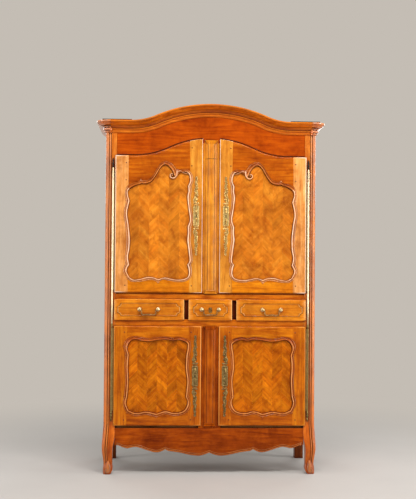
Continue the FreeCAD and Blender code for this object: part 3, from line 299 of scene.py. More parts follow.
# Metals: bright and tarnished tone, share that is tarnished, roughness.
brass("pale_brass", (246, 220, 150), (150, 112, 50), 0.35, 0.28)
brass("rod_brass", (240, 226, 192), (200, 176, 128), 0.3, 0.36)
brass("knob_brass", (238, 222, 178), (176, 148, 96), 0.35, 0.3)
brass("rod_dull", (134, 114, 70), (72, 56, 28), 0.7, 0.48)
brass("dull_brass", (158, 134, 86), (78, 58, 28), 0.65, 0.38)
brass("bronze", (160, 124, 74), (70, 46, 24), 0.7, 0.36)
iron("iron", (46, 38, 32))
# Near black iron for the keyholes, which stands in for the shade inside the hole: painted shade.
iron("keyhole_dark", (18, 12, 8), 0.8)


def finish_for(node):
    """The finish of a CAD node that stays, by a word in its name."""
    for word, finish in (
        ("barrel", "rod_brass" if "upper" in node else "rod_dull"), ("lock_case", "iron"),
        ("bolt", "iron"), ("frieze", "frieze"), ("drawer_rail", "rail"),
        # The dividers and the rear posts take darker wood, as painted shade.
        ("dividers", "dark"), ("side_", "side"), ("posts_rear", "rear"), ("back", "back"),
    ):
        if word in node:
            return finish
    return "inner"


BARREL_INNER, ROOF_EDGE = 0.6325, 2.2895
for node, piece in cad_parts.items():
    piece.data.materials.clear()
    piece.data.materials.append(FINISHES[finish_for(node)])
    if node.endswith("hinge_barrel"):
        piece.data.materials.append(FINISHES["bronze"])
        for polygon in piece.data.polygons:
            if abs(polygon.center.x) < BARREL_INNER:
                polygon.material_index = 1

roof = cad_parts["roof_boards"].data
roof.materials.append(FINISHES["dark_roof_edge"])
roof.materials.append(FINISHES["roof"])
# Edges of the roof boards above the cornice take the darkened wood, their tops the roof wood.
for polygon in roof.polygons:
    if polygon.normal.z > 0.5:
        polygon.material_index = 2
    elif polygon.center.z > ROOF_EDGE:
        polygon.material_index = 1


# Mesh helpers

def new_object(name, data):
    thing = bpy.data.objects.new(name, data)
    bpy.context.collection.objects.link(thing)
    return thing


def make(shell, name, body, finishes, smooth=35.0, node=None):
    """A piece that rides on a body, smooth except at edges sharper than the angle."""
    mesh = bpy.data.meshes.new(name)
    bmesh.ops.recalc_face_normals(shell, faces=shell.faces)
    shell.to_mesh(mesh)
    shell.free()
    for finish in finishes:
        mesh.materials.append(FINISHES[finish])
    for polygon in mesh.polygons:
        polygon.use_smooth = True
    mesh.set_sharp_from_angle(angle=math.radians(smooth))
    piece = new_object(name, mesh)
    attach(piece, body)
    if node:
        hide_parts(node)
    return piece


def round_edges(piece, width, segments):
    modifier = piece.modifiers.new("round", "BEVEL")
    modifier.width = width
    modifier.segments = segments
    modifier.limit_method = "WEIGHT"
    modifier.use_clamp_overlap = True


def neighbours(items):
    """Each item of a closed loop with the one after it."""
    return zip(items, items[1:] + items[:1])


def circle(radius, sides):
    angles = [2 * math.pi * side / sides for side in range(sides)]
    return [(radius * math.cos(angle), radius * math.sin(angle)) for angle in angles]


def add_prism(shell, outline, near, far, rounded=()):
    """A flat outline of (x, z) points, thick from depth near to depth far.

    Rounded says of each front edge whether a bevel rounds it.
    """
    layers = shell.edges.layers.float
    layer = layers.get("bevel_weight_edge") or layers.new("bevel_weight_edge")
    front = [shell.verts.new((x, near, z)) for x, z in outline]
    back = [shell.verts.new((x, far, z)) for x, z in outline]
    shell.faces.new(front)
    shell.faces.new(list(reversed(back)))
    for (a, b), (c, d) in neighbours(list(zip(front, back))):
        shell.faces.new((a, b, d, c))
    for (a, b), soft in zip(neighbours(front), rounded):
        if soft:
            shell.edges.get((a, b))[layer] = 1.0


def bridge(shell, rows):
    """Faces between rows of corners, each row a loop."""
    faces = []
    for near, far in zip(rows, rows[1:]):
        for (a, b), (c, d) in neighbours(list(zip(near, far))):
            faces.append(shell.faces.new((a, c, d, b)))
    return faces


def skin(shell, rows, worn=None, caps=True, loop=False, material=0):
    """Faces between rows of places, each row a loop.

    The marks given hold each row's pairs of dirt and painted shade (red) and of wear and painted
    highlight (green), one for each place.
    """
    layers = shell.verts.layers.float_color
    layer = (layers.get("worn") or layers.new("worn")) if worn else None
    grid = [[shell.verts.new(place) for place in row] for row in rows]
    for row, marks in zip(grid, worn or ()):
        for vert, (dirt_and_shade, wear_and_highlight) in zip(row, marks):
            vert[layer] = (dirt_and_shade, wear_and_highlight, 0.0, 1.0)
    faces = bridge(shell, grid + grid[:1] if loop else grid)
    if caps:
        faces += [shell.faces.new(grid[0]), shell.faces.new(grid[-1])]
    for face in faces:
        face.material_index = material
    return faces


# Turns of a section, in radians, that give full dirt and painted shade, full wear and painted
# highlight, and the most wear and painted highlight.
FULL_DIRT_AND_SHADE, FULL_WEAR_AND_HIGHLIGHT, MOST_WEAR_AND_HIGHLIGHT = 0.9, 1.1, 0.8


def hollow_and_ridge_marks(section, dirt_and_shade=1.0, wear_and_highlight=1.0):
    """Dirt and painted shade in the hollows, and wear and painted highlight on the ridges, of a
    section that has its solid below.
    """
    turns = []
    last = len(section) - 1
    for index in range(len(section)):
        a, b, c = (Vector(section[i]) for i in (max(index - 1, 0), index, min(index + 1, last)))
        first, second = b - a, c - b
        if min(first.length, second.length) < TINY:
            turns.append(0.0)
        else:
            cross = first.x * second.y - first.y * second.x
            turns.append(math.atan2(cross, first.dot(second)))
    marks = []
    for index, turn in enumerate(turns):
        near = (turns[max(index - 1, 0)] + turns[min(index + 1, last)]) / 2
        turn = 0.7 * turn + 0.3 * near
        marks.append((min(max(turn * dirt_and_shade / FULL_DIRT_AND_SHADE, 0.0), 1.0),
                      min(max(-turn / FULL_WEAR_AND_HIGHLIGHT, 0.0), MOST_WEAR_AND_HIGHLIGHT) * wear_and_highlight))
    return marks


def smooth_span(points, step):
    """A curve through given points, as evenly spaced points about one step apart."""
    points = [Vector(point) for point in points]
    padded = [points[0] * 2 - points[1], *points, points[-1] * 2 - points[-2]]
    fine = []
    for a, b, c, d in zip(padded, padded[1:], padded[2:], padded[3:]):
        parts = max(int((c - b).length / step), 2)
        for part in range(parts):
            t = part / parts
            fine.append(0.5 * (
                2 * b + (c - a) * t + (2 * a - 5 * b + 4 * c - d) * t * t
                + (3 * b - a - 3 * c + d) * t ** 3
            ))
    return fine + [points[-1].copy()]


def even(points, count):
    """The same curve in a fixed number of equal steps."""
    lengths = [0.0]
    for a, b in zip(points, points[1:]):
        lengths.append(lengths[-1] + (b - a).length)
    result, index = [], 0
    for step in range(count + 1):
        target = lengths[-1] * step / count
        while index < len(points) - 2 and lengths[index + 1] < target:
            index += 1
        span = max(lengths[index + 1] - lengths[index], TINY)
        result.append(points[index].lerp(points[index + 1], (target - lengths[index]) / span))
    return result


def heading(points, index):
    """The way a row of points runs at one of them."""
    last = len(points) - 1
    return (points[min(index + 1, last)] - points[max(index - 1, 0)]).normalized()


def per_point(value, share):
    return value(share) if callable(value) else value


def relief(shell, points, half_width, height, base, arcs=6, material=0):
    """A rounded ridge along a path of (x, z) points, standing on the plane y = base."""
    points = [Vector(point) for point in points]
    angles = [math.pi * step / arcs for step in range(arcs + 1)]
    rows = []
    for index, here in enumerate(points):
        along = heading(points, index)
        across = Vector((-along.y, along.x))
        share = index / (len(points) - 1)
        wide, high = per_point(half_width, share), per_point(height, share)
        places = [here + across * (-math.cos(angle) * wide) for angle in angles]
        rows.append([
            (place.x, base - math.sin(angle) * high, place.y)
            for place, angle in zip(places, angles)
        ])
    # Dirt and painted shade at the foot of the ridge, wear and a painted highlight on its crest.
    rises = [math.sin(angle) for angle in angles]
    marks = [(0.9 * (1 - rise) ** 2, 0.6 * rise ** 6) for rise in rises]
    skin(shell, rows, [marks] * len(rows), material=material)


def dome(shell, place, radius, height, base, rings=4, sides=18, material=0):
    """A low round boss on the plane y = base, with a flat back."""
    x, z = place
    grid = []
    for ring in range(rings):
        angle = math.pi / 2 * ring / rings
        y = base - math.sin(angle) * height
        round_line = circle(math.cos(angle) * radius, sides)
        grid.append([shell.verts.new((x + a, y, z + b)) for a, b in round_line])
    tip = shell.verts.new((x, base - height, z))
    faces = [shell.faces.new(grid[0]), *bridge(shell, grid)]
    faces += [shell.faces.new((a, b, tip)) for a, b in neighbours(grid[-1])]
    for face in faces:
        face.material_index = material


def lathe(shell, profile, origin, axis="z", sides=24, material=0):
    """A turned piece from (radius, height) pairs, along an axis; y runs to the front."""
    rows = []
    for radius, height in profile:
        row = []
        for a, b in circle(radius, sides):
            shift = {"x": (height, a, b), "y": (a, -height, b), "z": (a, b, height)}[axis]
            row.append(Vector(origin) + Vector(shift))
        rows.append(row)
    skin(shell, rows, material=material)


def wire(shell, points, radius, sides=12):
    """A round wire along places in space."""
    points = [Vector(point) for point in points]
    side_way = heading(points, 0).orthogonal().normalized()
    rows = []
    for index, here in enumerate(points):
        along = heading(points, index)
        side_way = (side_way - along * side_way.dot(along)).normalized()
        other_way = along.cross(side_way)
        thick = per_point(radius, index / (len(points) - 1))
        rows.append([here + side_way * a + other_way * b for a, b in circle(thick, sides)])
    skin(shell, rows)


def in_metres(pairs):
    return [(a * MM, b * MM) for a, b in pairs]


def turned(points, sign):
    return [(sign * x, z) for x, z in points]


def spiral(centre, radius, start, sweep, shrink=0.35, steps=18):
    """Points of a curl that closes in towards its centre."""
    points = []
    for step in range(steps + 1):
        share = step / steps
        reach = radius * (1 - (1 - shrink) * share)
        angle = math.radians(start + sweep * share)
        points.append((centre[0] + reach * math.cos(angle), centre[1] + reach * math.sin(angle)))
    return points


def taper(first, last):
    return lambda share: first + (last - first) * share


def swell(small, large, turn=1.0):
    """Largest in the middle, or further on and with a broad end for a turn below one."""
    return lambda share: small + (large - small) * math.sin(math.pi * turn * share)


def carve(shell, points, sign, *shape, step=0.003, material=0):
    """A relief along a smooth line through given points, on either half of the piece."""
    relief(shell, turned(smooth_span(points, step), sign), *shape, material=material)


# Doors. The carved edges are in thousandths of the door's width, from the hinge side, and
# of its height at the hinge side. Each row is one smooth span between two cusps; it starts
# at the end of the row before it, and the first one at the end of the last.

UPPER_INNER = (
    ((230, 95), (300, 102), (370, 116), (440, 113), (500, 101)),
    ((585, 112), (640, 104), (730, 97), (820, 109), (845, 139), (838, 176), (826, 203)),
    ((850, 232), (838, 308), (822, 382), (829, 438), (826, 483)),
    ((852, 533), (835, 615), (820, 697), (831, 740), (827, 778)),
    ((850, 817), (835, 866), (787, 880), (727, 870), (676, 833)),
    ((657, 875), (616, 915), (567, 930), (519, 908), (482, 868), (440, 825), (405, 802),
     (352, 790), (300, 790)),
    ((230, 776), (160, 745), (150, 716), (173, 666)),
    ((146, 578), (164, 496), (180, 396), (176, 316), (160, 256), (174, 199)),
    ((146, 157), (175, 110)),
)
UPPER_OUTER = (
    ((185, 79), (243, 75), (326, 80), (390, 89), (447, 89), (500, 71)),
    ((553, 93), (640, 84), (730, 76), (815, 83), (868, 107), (886, 139), (884, 185),
     (871, 207)),
    ((893, 233), (884, 308), (871, 382), (875, 438), (873, 475)),
    ((894, 534), (875, 615), (866, 697), (877, 740), (873, 778)),
    ((894, 825), (871, 878), (810, 903), (748, 899), (700, 903)),
    ((669, 933), (623, 953), (572, 963), (523, 948), (481, 910), (438, 863), (396, 832),
     (350, 818), (294, 823)),
    ((252, 805), (188, 796), (136, 773), (113, 726), (127, 666)),
    ((102, 578), (118, 496), (134, 396), (130, 316), (116, 256), (129, 213)),
    ((100, 157), (150, 98)),
)
LOWER_INNER = (
    ((262, 132), (376, 147), (493, 127)),
    ((596, 152), (700, 133), (804, 158), (844, 240), (820, 291)),
    ((836, 445), (818, 578), (823, 707)),
    ((839, 794), (832, 825), (752, 856), (670, 848)),
    ((600, 859), (509, 854), (406, 839), (323, 843)),
    ((245, 857), (194, 837), (161, 777), (180, 709)),
    ((171, 595), (178, 443), (168, 295)),
    ((152, 220), (180, 157)),
)
LOWER_OUTER = (
    ((262, 93), (376, 107), (493, 82)),
    ((596, 113), (700, 95), (823, 122), (885, 197), (867, 291)),
    ((879, 445), (864, 578), (869, 707)),
    ((886, 794), (860, 860), (752, 895), (670, 882)),
    ((600, 896), (509, 891), (406, 878), (323, 887)),
    ((245, 898), (161, 879), (112, 802), (135, 709)),
    ((126, 595), (133, 443), (122, 295)),
    ((107, 220), (152, 127)),
)
# Cross-section of the carved moulding: share of the way from its outer to its inner edge,
# height in millimetres above the door's face, dirt and painted shade, and wear and painted
# highlight.
MOULDING_SECTION = (
    (0.0, 0.0, 0.5, 0.0), (0.04, -0.8, 0.6, 0.0), (0.08, 0.4, 0.2, 0.0),
    (0.13, 1.6, 0.0, 0.35), (0.18, 1.8, 0.0, 0.45), (0.23, 0.9, 0.0, 0.1),
    (0.28, -0.4, 0.1, 0.0), (0.36, -1.2, 0.15, 0.0), (0.44, -0.8, 0.1, 0.0),
    (0.50, 0.6, 0.0, 0.1), (0.56, 2.8, 0.0, 0.4), (0.62, 4.4, 0.0, 0.8),
    (0.68, 5.0, 0.0, 1.0), (0.74, 4.4, 0.0, 0.8), (0.80, 2.4, 0.0, 0.3),
    (0.85, -0.6, 0.4, 0.0), (0.90, -3.8, 0.9, 0.0), (0.95, -7.0, 0.9, 0.0),
    (1.0, -8.6, 0.8, 0.0),
)
DOORS = {
    "upper": {
        "bottom": 1.175, "top": 2.066, "tongue_bottom": 1.188, "tongue_drop": 0.014,
        "panel_top": 2.038, "keyhole": 1.675, "rail_edges": (1.31, 1.82), "top_highlight": 0.6,
        "inner": UPPER_INNER, "outer": UPPER_OUTER, "wave": True, "contrast": 0.45,
        "strips": (0.602, 0.535, 0.470, 0.404, 0.340, 0.276, 0.207, 0.142, 0.077),
    },
    "lower": {
        "bottom": 0.313, "top": 0.958, "tongue_bottom": 0.319, "tongue_drop": 0.013,
        "panel_top": 0.908, "keyhole": 0.634, "rail_edges": (0.462, 0.812), "top_highlight": 0.35,
        "inner": LOWER_INNER, "outer": LOWER_OUTER, "wave": False, "contrast": 1.0,
        "strips": (0.598, 0.534, 0.470, 0.407, 0.344, 0.278, 0.215, 0.151, 0.087),
    },
}
# Rise, half width and radius of the crest of the wave over the upper doors.
DOOR_WAVE = (0.114, 0.500, 0.640)
DOOR_OUTER, DOOR_INNER = 0.625, 0.057
TONGUE_OUTER, TONGUE_INNER = 0.611, 0.075
HINGE_JOINT, LOCK_JOINT = 0.538, 0.141
JOINT_MIDDLE = (HINGE_JOINT + LOCK_JOINT) / 2
PANEL_OUTER, PANEL_INNER = 0.575, 0.107
PANEL_FRONT, PANEL_BACK = -0.268, -0.256
PANEL_MARGIN = 0.050
LIP_ROUNDING = 0.0086
MOULDING_STEP = 0.004
RAIL_START = LOCK_JOINT + 0.014


def wave_height(x, flat, rise, half, crest, drop=0.0):
    """Height of a wave line of three tangent arcs, lowered along its normals by drop."""
    x = abs(x)
    hollow = (half ** 2 + rise ** 2) / (2 * rise) - crest
    centre_z, hollow_z = flat + rise - crest, flat + hollow
    joint = (crest - drop) * half / (crest + hollow)
    if x >= half:
        return flat - drop
    if x > joint:
        return hollow_z - math.sqrt((hollow + drop) ** 2 - (half - x) ** 2)
    return centre_z + math.sqrt((crest - drop) ** 2 - x ** 2)


def door_top(x, door, drop=0.0):
    if door["wave"]:
        return wave_height(x, door["top"], *DOOR_WAVE, drop)
    return door["top"] - drop


def top_line(low, high, door, drop=0.0):
    """Points along a door's top edge, from the far end of a span to the near one."""
    steps = 30 if door["wave"] else 1
    places = [low + (high - low) * step / steps for step in range(steps, -1, -1)]
    return [(x, door_top(x, door, drop)) for x in places]


def outline_rows(door):
    """Matching points along the moulding's outer and inner edge, all the way round."""
    def spans(rows):
        for before, row in zip(rows[-1:] + rows[:-1], rows):
            yield smooth_span([
                (DOOR_OUTER - across / 1000 * (DOOR_OUTER - DOOR_INNER),
                 door["bottom"] + up / 1000 * (door["top"] - door["bottom"]))
                for across, up in (before[-1], *row)
            ], MOULDING_STEP)

    outer, inner, cusps = [], [], []
    for a, b in zip(spans(door["outer"]), spans(door["inner"])):
        count = max(int(len(a) * 0.9), 6)
        cusps.append(len(outer))
        outer += even(a, count)[:-1]
        inner += even(b, count)[:-1]
    return outer, inner, cusps


def crossings(outer):
    """Where the moulding's outer edge meets the joint lines, below and above the panel."""
    low = min(range(len(outer)), key=lambda i: abs(outer[i].x - JOINT_MIDDLE) + outer[i].y)
    high = max(range(len(outer)), key=lambda i: outer[i].y - abs(outer[i].x - JOINT_MIDDLE))
    found = []
    for index, step, joint in (
        (low, 1, LOCK_JOINT), (low, -1, HINGE_JOINT), (high, -1, LOCK_JOINT),
        (high, 1, HINGE_JOINT),
    ):
        while (outer[index % len(outer)].x - joint) * (JOINT_MIDDLE - joint) > 0:
            index += step
        found.append(index % len(outer))
    return found


def run(outer, start, stop):
    """Points of the outer edge from one index on to another, round the loop."""
    count = len(outer)
    steps = (stop - start) % count + 1
    return [tuple(outer[(start + step) % count]) for step in range(steps)]


def door_edges(point, door):
    """The outer edges of a door that a point of a member's outline is on."""
    x, z = point
    gaps = {"hinge": abs(x - DOOR_OUTER), "lock": abs(x - DOOR_INNER),
            "bottom": z - door["bottom"], "top": door_top(x, door) - z}
    return {edge for edge, gap in gaps.items() if gap < TINY}


def door_members(name, level, sign, outer):
    """The stiles and rails of one door, with rounded lips and the tongue behind."""
    door = DOORS[level]
    bottom, top, panel_low = door["bottom"], door["top"], door["bottom"] + PANEL_MARGIN
    low_lock, low_hinge, high_lock, high_hinge = crossings(outer)
    panel = (PANEL_INNER, PANEL_OUTER)
    # Outline, spans of the lip and the tongue behind it, and their lower and upper ends
    # where these aren't the door's own.
    members = {
        "hinge_stile": (
            [(HINGE_JOINT, bottom), (DOOR_OUTER, bottom), (DOOR_OUTER, top),
             (HINGE_JOINT, door_top(HINGE_JOINT, door)), *run(outer, high_hinge, low_hinge)],
            (PANEL_OUTER, DOOR_OUTER), (PANEL_OUTER, TONGUE_OUTER), None, None,
        ),
        "lock_stile": (
            [(DOOR_INNER, bottom), (LOCK_JOINT, bottom), *run(outer, low_lock, high_lock),
             *top_line(DOOR_INNER, LOCK_JOINT, door)],
            (DOOR_INNER, PANEL_INNER), (TONGUE_INNER, PANEL_INNER), None, None,
        ),
        "bottom_rail": (
            [(LOCK_JOINT, bottom), (HINGE_JOINT, bottom), *run(outer, low_hinge, low_lock)],
            panel, panel, None, panel_low,
        ),
        "top_rail": (
            run(outer, high_lock, high_hinge) + top_line(LOCK_JOINT, HINGE_JOINT, door),
            panel, panel, door["panel_top"], None,
        ),
    }
    for member, (outline, lip, tongue, low, high) in members.items():
        edges = [door_edges(point, door) for point in outline]
        shell = bmesh.new()
        add_prism(shell, turned(outline, sign), LIP_FRONT, PANEL_FRONT,
                  [a & b for a, b in neighbours(edges)])
        for (a, b), start, drop, near, far in (
            (lip, bottom, 0.0, PANEL_FRONT, LIP_BACK),
            (tongue, door["tongue_bottom"], door["tongue_drop"], LIP_BACK, TONGUE_BACK),
        ):
            block = [(a, low or start), (b, low or start)]
            block += [(b, high), (a, high)] if high else top_line(a, b, door, drop)
            add_prism(shell, turned(block, sign), near, far)
        piece = make(shell, f"{name}_{member}", name,
                     [f"{level}_{member}"],
                     node=f"{name}_{'stiles' if 'stile' in member else 'rails'}")
        round_edges(piece, LIP_ROUNDING, 5)


def moulding(name, level, sign, outer, inner):
    """The carved double bead round the panel, closed at the back."""
    door = DOORS[level]
    low_edge, high_edge = door["rail_edges"]
    rows, marks, on_rail = [], [], []
    for index, (a, b) in enumerate(zip(outer, inner)):
        row = [(a.lerp(b, share), LIP_FRONT - height * MM)
               for share, height, dirt_and_shade, wear_and_highlight in MOULDING_SECTION]
        row += [(b, PANEL_FRONT), (a, PANEL_FRONT)]
        rows.append([(sign * place.x, y, place.y) for place, y in row])
        along = (outer[(index + 1) % len(outer)] - outer[index - 1]).normalized()
        # Painted highlight with wear on the crests: strongest on upright runs, the bottom run
        # and the lock side, weaker on the top run.
        upright = along.y ** 2
        centre = (a + b) / 2
        highlight_share = 0.25 + 0.75 * upright
        if centre.y < low_edge:
            highlight_share = max(highlight_share, 0.7)
        elif centre.y > high_edge:
            highlight_share *= 1.0 - (1.0 - door["top_highlight"]) * (1.0 - upright)
        bright = 1.3 if centre.x < JOINT_MIDDLE else 1.0
        worn = [(dirt_and_shade, min(wear_and_highlight * highlight_share * bright, 0.95))
                for share, height, dirt_and_shade, wear_and_highlight in MOULDING_SECTION]
        marks.append(worn + [(0.0, 0.0)] * 2)
        # The top run takes the darker rail wood, partly the rail's own colour and partly painted
        # shade.
        on_rail.append(RAIL_START < centre.x < HINGE_JOINT and centre.y > high_edge)
    shell = bmesh.new()
    for index, face in enumerate(skin(shell, rows, marks, caps=False, loop=True)):
        face.material_index = int(on_rail[index // len(rows[0])])
    make(shell, f"{name}_moulding", name,
         [f"{level}_carved", f"{level}_rail_carved"], 60.0)


PARQUET_RISE = 0.044
PARQUET_GAP = 0.00006
# How much light the pieces of veneer throw back, the usual tones more often.
VENEER_TONES = (0.80, 0.90, 0.95, 0.98, 1.0, 1.0, 1.03, 1.07, 1.16)
# Spread of the strips' tones, the pieces' lengths and their tint, and how tones drift.
STRIP_TONES, LENGTHS, TINTS, DRIFT = (0.91, 1.06), (0.5, 2.4), (0.94, 1.03), 0.07


def clip(polygon, axis, limit, keep_above):
    """The part of a convex polygon on one side of a line across one axis."""
    result = []
    for a, b in neighbours(polygon):
        inside_a = (a[axis] >= limit) == keep_above
        inside_b = (b[axis] >= limit) == keep_above
        if inside_a:
            result.append(a)
        if inside_a != inside_b:
            t = (limit - a[axis]) / (b[axis] - a[axis])
            result.append((a[0] + (b[0] - a[0]) * t, a[1] + (b[1] - a[1]) * t))
    return result


def parquetry(name, level, side, sign):
    """A panel faced with slanted strips that meet in chevrons, each its own tone."""
    door = DOORS[level]
    rng = random.Random(f"{level} {side} panel")
    bottom, top = door["bottom"] + PANEL_MARGIN, door["panel_top"]
    limits = ((1, bottom, True), (1, top, False), (0, PANEL_INNER, True),
              (0, PANEL_OUTER, False))
    shell = bmesh.new()
    layers = (shell.loops.layers.uv.new("grain"), shell.loops.layers.float_color.new("tone"))
    for column, (high, low) in enumerate(zip(door["strips"], door["strips"][1:])):
        width = high - low
        slope = 1.0 if column % 2 == 0 else -1.0
        z = bottom - width - rng.uniform(0.0, PARQUET_RISE)
        strip_tone = rng.uniform(*STRIP_TONES)
        drift = 0.0
        while z < top + width:
            rise = PARQUET_RISE * rng.uniform(*LENGTHS)
            far_z = z + slope * width
            polygon = [(low, z), (high, far_z), (high, far_z + rise), (low, z + rise)]
            for limit in limits:
                polygon = clip(polygon, *limit) if len(polygon) > 2 else polygon
            drift = 0.75 * drift + rng.uniform(-DRIFT, DRIFT)
            veneer = 1.0 + (rng.choice(VENEER_TONES) - 1.0) * door["contrast"]
            tone = strip_tone * (1.0 + drift) * veneer
            red = rng.uniform(*TINTS)
            shift = rng.uniform(0, 30)
            if len(polygon) > 2:
                colour = (tone, tone * red, tone * red * red, 1.0)
                add_tile(shell, layers, polygon, sign, slope, colour, shift)
            z += rise
    make(shell, f"{name}_parquetry", name,
         [f"{level}_parquetry", "panel_back"], 20.0, f"{name}_panel")


def add_tile(shell, layers, polygon, sign, slope, colour, shift):
    """One piece of veneer on its ground, a closed block with grain along its slope."""
    uv, tone = layers
    count = len(polygon)
    centre = Vector((sum(x for x, z in polygon) / count, sum(z for x, z in polygon) / count))
    along = Vector((1.0, slope)).normalized()
    across = Vector((-along.y, along.x))
    eased = []
    for point in polygon:
        away = Vector(point) - centre
        eased.append(centre + away * (1 - PARQUET_GAP / max(away.length, TINY)))
    front = [shell.verts.new((sign * p.x, PANEL_FRONT, p.y)) for p in eased]
    back = [shell.verts.new((sign * x, PANEL_BACK, z)) for x, z in polygon]
    faces = [shell.faces.new(front), shell.faces.new(list(reversed(back)))]
    faces[1].material_index = 1
    faces += bridge(shell, [front, back])
    for face in faces:
        for loop in face.loops:
            place = Vector((sign * loop.vert.co.x, loop.vert.co.z)) - centre
            loop[uv].uv = (place.dot(along) + shift, place.dot(across) + shift)
            loop[tone] = colour


# Carving at the cusps of the door mouldings and the scroll over each upper panel, which
# takes the place of one cusp

SCROLL = ((0.224, 1.968), (0.224, 1.950), (0.230, 1.933), (0.242, 1.922), (0.257, 1.921),
          (0.267, 1.930), (0.267, 1.942), (0.258, 1.949), (0.250, 1.945))
SCROLL_EYE = (0.255, 1.937)
SCROLL_TAIL = ((0.218, 1.962), (0.200, 1.966), (0.183, 1.957), (0.160, 1.950), (0.146, 1.949))
SCROLL_CUSP, CUSP_NEAR = 0.227, 0.012
# Of a leaf: share of the way over the moulding, and distance from the cusp.
LEAF = ((0.40, 0.012), (0.26, 0.006), (0.10, 0.002))
BUD_OUT = 0.003


def carving(name, level, sign, outer, inner, cusps):
    """Two leaves and a bud at each cusp, and the scroll."""
    upper = level == "upper"
    shell = bmesh.new()
    for a, b in ((outer[index], inner[index]) for index in cusps):
        if upper and abs(a.x - SCROLL_CUSP) < CUSP_NEAR:
            continue
        out = (a - b).normalized()
        along = Vector((-out.y, out.x))
        bud = a + out * BUD_OUT
        for way in (-1, 1):
            leaf = [a.lerp(b, share) + along * (way * aside) for share, aside in LEAF]
            carve(shell, [*leaf, bud], sign, swell(0.0012, 0.0034), swell(0.0090, 0.0122),
                  PANEL_FRONT, step=0.002)
        dome(shell, (sign * bud.x, bud.y), 0.0038, 0.0125, PANEL_FRONT, 4, 14)
    if upper:
        carve(shell, SCROLL, sign, taper(0.0085, 0.0042), taper(0.0150, 0.0125),
              PANEL_FRONT, 8)
        carve(shell, SCROLL_TAIL, sign, taper(0.0055, 0.0022), taper(0.0140, 0.0115),
              PANEL_FRONT)
        dome(shell, *turned([SCROLL_EYE], sign), 0.0075, 0.0130, PANEL_FRONT)
    make(shell, f"{name}_carving", name, [f"{level}_carved"], 60.0)


def make_door(level, side, sign):
    name = f"door_{level}_{side}"
    outer, inner, cusps = outline_rows(DOORS[level])
    door_members(name, level, sign, outer)
    moulding(name, level, sign, outer, inner)
    carving(name, level, sign, outer, inner, cusps)
    parquetry(name, level, side, sign)


PEGS = {
    "upper": ((0.554, 1.906), (0.554, 2.018), (0.125, 2.118), (0.128, 2.002), (0.125, 1.220),
              (0.556, 1.221)),
    "lower": ((0.556, 0.918), (0.556, 0.352), (0.125, 0.918), (0.125, 0.352)),
}
PEG_STRAY = 0.0015


def pegs(name, level, sign):
    """The heads of the pegs that hold the door's joints."""
    rng = random.Random(f"{name} pegs")
    shell = bmesh.new()
    for x, z in PEGS[level]:
        x = sign * x + rng.uniform(-PEG_STRAY, PEG_STRAY)
        z += rng.uniform(-PEG_STRAY, PEG_STRAY)
        dome(shell, (x, z), rng.uniform(0.0038, 0.0046), 0.0010, LIP_FRONT, 2, 8)
    make(shell, f"{name}_pegs", name, ["peg"])


# Escutcheons: a framed plate with the keyhole, collars, rosettes and scrolls, all in
# millimetres from the keyhole, rising scrolls first.

LOCK_LINE = 0.097
CREST = {"upper": (258, 257), "lower": (265, 262)}
SCROLLS_START, SCROLLS_REACH = 86, 158
COLLARS = ((62, 18.5, 5.5), (72, 13.0, 4.5), (83, 18.0, 5.5))
# Place, radius, first angle, sweep and half width of each curl.
CURLS = ((0, 106, 17.5, 250, -300, 6.0), (5, 134, 14.0, 100, 280, 5.2),
         (-6, 156, 13.0, 80, -280, 4.8), (6, 178, 11.5, 100, 280, 4.4),
         (-4, 198, 10.5, 80, -280, 4.0), (4, 216, 9.0, 100, 280, 3.6),
         (-2, 234, 8.0, 80, -280, 3.2))
STEM = ((0, 92), (-9, 120), (9, 145), (-9, 168), (8, 190), (-7, 208), (6, 226), (-3, 243))
PLATE = ((-17, -57), (17, -57), (17, 57), (-17, 57))
FRAME_EDGE, FRAME_END, RIBS = 17.5, 58, ((-56, -10), (10, 56))
STUDS = ((22, 0.0098, 0.0060), (43, 0.0068, 0.0046))
KEY_SLOT = ((-2.2, 0), (2.2, 0), (3.2, -11), (-3.2, -11))


